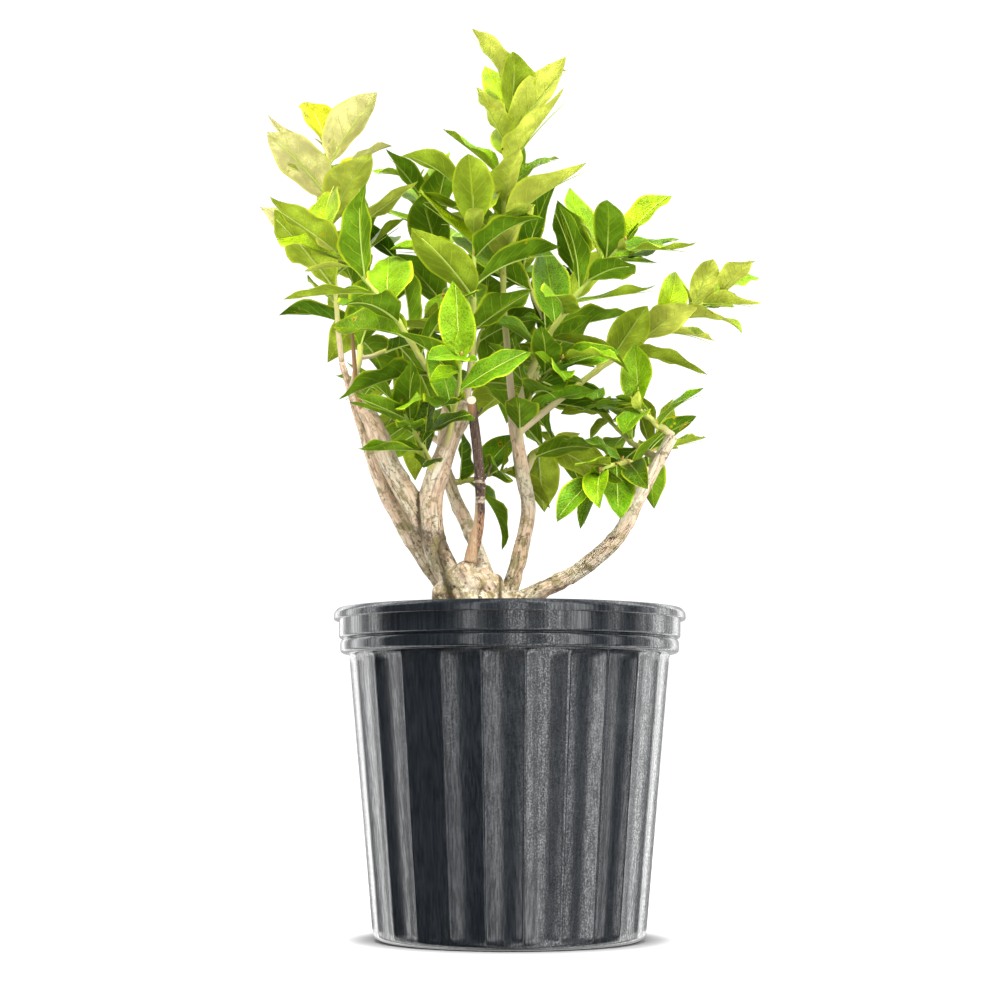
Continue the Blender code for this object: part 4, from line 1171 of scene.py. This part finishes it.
# The leaves: pointed ovals, glossy and quilted by their veins above and dull below. Each is two thin sheets
# that meet at the edge, arched along its rib, with halves that rise from it, waved edges and a slight twist.
LEAF_ROWS = 14
LEAF_COLUMNS = 7
LEAF_SHEET_MM = 0.42
LEAF_START = 0.05  # share of the leaf that is bare stalk
LEAF_OUTLINE = (0.72, 0.95)
LEAF_CURL = (0.01, 0.05)  # of the tip, mean and spread, as shares of the leaf's length, as are the next two
LEAF_BEND = 0.025
LEAF_SWEEP = 0.03
LEAF_TWIST = 0.42
LEAF_CUP = (-0.1, 0.9)  # how far the halves of the leaf bend down again towards the edge
LEAF_BEAT = (1.3, 3.0)  # waves along each edge
LEAF_WAVE = (0.04, 0.20)  # height of the waves as a share of the half width
LEAF_LEAN = 0.10  # by how much one half is wider than the other
LEAF_APART_MM = 37.0  # between one leaf's mottling and the next one's, so that no two look alike
TINTS = (  # name, upper colour, lower colour
    ("deep", (0.034, 0.100, 0.001), (0.060, 0.140, 0.005)),
    ("mid", (0.082, 0.215, 0.002), (0.140, 0.265, 0.011)),
    ("fresh", (0.165, 0.330, 0.002), (0.335, 0.445, 0.030)),
    ("lime", (0.225, 0.345, 0.000), (0.640, 0.685, 0.100)),
    ("yellow", (0.345, 0.350, 0.000), (0.880, 0.800, 0.330)),
)
SPRAY_TINT_AND_PAINTED_LIGHT = {  # where each spray lies on the way from deep to yellow: partly the leaves' own colour, and partly painted light, for the yellow and lime high on the bush stand in for light shining through the leaves
    "top_left": 3.1, "leader": 2.7, "far_right": 2.3, "arch_left": 1.9, "centre_left": 1.8, "right_fore": 1.5,
    "mid_right": 1.0, "mid_left": 0.9, "right_in": 1.0, "right_up": 1.1, "front_low": 0.9, "behind_stub": 0.5,
}
PLAIN_TINT = 1.1
TINT_CLIMB = 1.3
TINT_MIDDLE = 0.6  # share of the shoot where a leaf has its spray's own tint
TINT_SCATTER = 1.5
VEIN_COLOUR = (0.58, 0.66, 0.03)
RIM_COLOUR = (0.66, 0.68, 0.02)


def leaf_template(rows, columns):
    """Triangles of one leaf, on a grid of corners whose last row is the tip: the upper sheet, then the lower.

    Both sheets split each cell along the same diagonal, so that they can't cross. It is mirrored at the rib.
    """
    tip = (rows - 1) * columns
    inner = columns - 2
    low = tip + 1

    def upper(row, column):
        return row * columns + column if row < rows - 1 else tip

    def lower(row, column):
        on_edge = column in (0, columns - 1) or row in (0, rows - 1)
        return upper(row, column) if on_edge else low + (row - 1) * inner + column - 1

    sheets = []
    for at, order in ((upper, 1), (lower, -1)):
        for row in range(rows - 1):
            for column in range(columns - 1):
                a, b = at(row, column), at(row, column + 1)
                c, d = at(row + 1, column + 1), at(row + 1, column)
                for face in ((a, b, c), (a, c, d)) if column < columns // 2 else ((a, b, d), (b, c, d)):
                    if len(set(face)) == 3:
                        sheets.append((face[::order], order < 0))
    return sheets


def leaf_corners(leaves, rows, columns, chance):
    """Corners of many leaves at once, then two attributes: (s, v, leaf's number) and places on the flat leaf.

    For share s along and v across from -1 to 1,
    place = arc(s) + w (v cos f side + |v| sin f rise), with half width w(s) = width / 2 * x^a (1 - x)^b / top
    and a fold f that turns down towards the edge, plus a wave up of w v^2 sin(2 pi (k s + phase)) and a tip
    that curls by c s^6.
    """
    count = len(leaves)
    s = np.linspace(0, 1, rows)
    v = np.linspace(-1, 1, columns)
    x = np.clip((s - LEAF_START) / (1 - LEAF_START), 0, 1)
    fine = np.linspace(0, 1, 400)
    top = (fine ** LEAF_OUTLINE[0] * (1 - fine) ** LEAF_OUTLINE[1]).max()
    outline = x ** LEAF_OUTLINE[0] * (1 - x) ** LEAF_OUTLINE[1] / top
    outline = np.maximum(outline, np.where(s < 0.5, 0.03, 0.0))
    outline = outline * (1 - 0.22 * np.clip((s - 0.72) / 0.28, 0, 1) ** 2)
    root, along, up, length, width, droop = (np.array(each)[:, None, None] for each in zip(*leaves))
    side = np.cross(along, up)
    s, v = s[None, :, None], v[None, None, :]
    middle, rise = arched(root, along, up, (length / droop)[..., None], (droop * s)[..., None])
    one_each = (count, 1, 1)
    curl = chance.normal(*LEAF_CURL, one_each) * length * s**6
    curl = curl + chance.normal(0, LEAF_BEND, one_each) * length * s**2
    sweep = chance.normal(0, LEAF_SWEEP, one_each) * length * s**2
    middle = middle + curl[..., None] * rise + sweep[..., None] * side
    twist = (chance.normal(0, LEAF_TWIST, one_each) * (s - 0.3))[..., None]
    side, rise = np.cos(twist) * side + np.sin(twist) * rise, np.cos(twist) * rise - np.sin(twist) * side
    half = width / 2 * outline[None, :, None]
    cup = chance.uniform(*LEAF_CUP, one_each)
    phase = chance.uniform(0, 1, (count, 1, 2))[..., (v[0, 0] > 0).astype(int)]
    beat = chance.uniform(*LEAF_BEAT, one_each)
    wave = chance.uniform(*LEAF_WAVE, one_each) * np.sin(2 * math.pi * (beat * s + phase)) * v**2
    lean = 1 + LEAF_LEAN * chance.normal(0, 1, one_each) * v
    out = half * v * math.cos(LEAF_FOLD) * lean
    fold = np.abs(v) * math.sin(LEAF_FOLD) * (1.2 - 0.6 * cup * np.abs(v))
    lift = half * (fold - 0.12 * cup * v**4 + wave)
    upper = middle + out[..., None] * side + lift[..., None] * rise
    facing = unit(np.cross(np.gradient(upper, axis=1), np.gradient(upper, axis=2)))
    facing = facing * np.sign((facing * rise).sum(-1, keepdims=True))
    thick = LEAF_SHEET_MM * (1 - 0.6 * v**2)[..., None]
    number = np.arange(count)[:, None, None]
    share = np.stack(np.broadcast_arrays(s + 0 * v, v + 0 * s, number * 1.0), -1)
    spot = np.stack(np.broadcast_arrays(length * s + 0 * v, half * v, number * LEAF_APART_MM), -1)
    layers = []
    for above, below in ((upper, upper - thick * facing), (share, share), (spot, spot)):
        body = above[:, :-1].reshape(count, -1, 3)
        inner = below[:, 1:-1, 1:-1].reshape(count, -1, 3)
        layers.append(np.concatenate([body, above[:, -1:, columns // 2], inner], 1))
    return layers


def leaf_finish(name, colour, upper):
    """The upper face is glossy with pale sunk veins, and the lower face is dull with raised ones."""
    leaf = Finish(name, {"Roughness": 0.34 if upper else 0.75, "Specular IOR Level": 0.20 if upper else 0.02})
    s, v, number = leaf.parts(leaf.attribute("share"))
    spot = leaf.attribute("spot")
    reach = abs(v)
    rib = reach.step(0.06, 0.015)
    bow = leaf.noise(spot, 0.12, 1.0) * 0.05
    vein = ((s - 0.26 * reach + number * 0.013 + bow) * 7.0).wave().step(0.80, 1.0) * reach.step(1.0, 0.4)
    net = leaf.cells(spot, 0.42, "DISTANCE_TO_EDGE")
    fine_net = leaf.cells(spot, 1.1, "DISTANCE_TO_EDGE")
    patch = leaf.noise(spot, 0.055, 3.0)
    fleck = leaf.noise(spot, 0.8, 3.0, 0.7)
    pale = tuple(0.5 * c + 0.5 * p for c, p in zip(colour, VEIN_COLOUR))
    rim = tuple(0.45 * c + 0.55 * p for c, p in zip(colour, RIM_COLOUR))
    light = tuple(min(1.0, (1.25 if upper else 1.5) * c + 0.01) for c in colour)
    dark = tuple(0.6 * c for c in colour)
    luck = leaf.node("TexWhiteNoise", {"noise_dimensions": "1D"}, {"W": number})
    blotch = leaf.noise(spot, 0.10, 2.0) + luck.step(0.72, 0.95) * s * 0.18
    tone = leaf.painted(
        dark,
        (patch.step(0.35, 0.65), colour),
        (patch.step(0.5, 0.8) * 0.7, light),
        (fleck.step(0.55, 0.75) * 0.25, dark),
        (net.step(0.14, 0.0) * (0.25 if upper else 0.45), pale if upper else dark),
        (vein * (0.30 if upper else 0.45), pale),
        (rib * (0.45 if upper else 0.6), pale),
        (reach.step(0.84, 0.97) * 0.7, rim),
        (blotch.step(0.73, 0.80) * 0.8, (0.55, 0.42, 0.01)),
        (blotch.step(0.79, 0.81), (0.16, 0.050, 0.010)),
    )
    puff = net.step(0.0, 0.4) * 0.7 + fine_net.step(0.0, 0.3) * 0.10
    height = puff - vein * 0.9 - rib if upper else vein * 0.9 + fine_net.step(0.3, 0.0) * 0.15 - puff * 0.5
    leaf.surface({"Base Color": tone, "Normal": leaf.bump(height, 0.00045)})
    return leaf


sheets = leaf_template(LEAF_ROWS, LEAF_COLUMNS)
per_leaf = (LEAF_ROWS - 1) * LEAF_COLUMNS + 1 + (LEAF_ROWS - 2) * (LEAF_COLUMNS - 2)
waves = np.random.default_rng(7)
# A leaf's tint comes from its spray, grows yellower towards the shoot's tip, and is scattered by luck. The
# yellow and lime tints are partly the young leaves' own colour and partly painted light shining through them.
spray = np.array([SPRAY_TINT_AND_PAINTED_LIGHT.get(g.shoot.name, PLAIN_TINT) for g in grown])
climb = np.array([TINT_CLIMB * (g.t - TINT_MIDDLE) for g in grown])
luck = np.array([TINT_SCATTER * (g.chance - 0.5) for g in grown])
class_of = np.clip(np.round(spray + climb + luck), 0, len(TINTS) - 1).astype(int)
for number, (name, upper_colour, lower_colour) in enumerate(TINTS):
    own = [g.leaf for g, kind in zip(grown, class_of) if kind == number]
    corners, share, spot = leaf_corners(own, LEAF_ROWS, LEAF_COLUMNS, waves)
    faces = [tuple(k + per_leaf * n for k in face) for n in range(len(own)) for face, _ in sheets]
    upper_finish = leaf_finish(f"leaf_{name}_upper", upper_colour, True)
    lower_finish = leaf_finish(f"leaf_{name}_lower", lower_colour, False)
    leaves = add_piece(f"leaves_{name}", corners * MM, faces, upper_finish)
    leaves.data.materials.append(lower_finish.material)
    leaves.data.polygons.foreach_set("material_index", np.tile([int(low) for _, low in sheets], len(own)))
    leaves.data.set_sharp_from_angle(angle=math.radians(70))
    add_attribute(leaves, "share", share)
    add_attribute(leaves, "spot", spot)
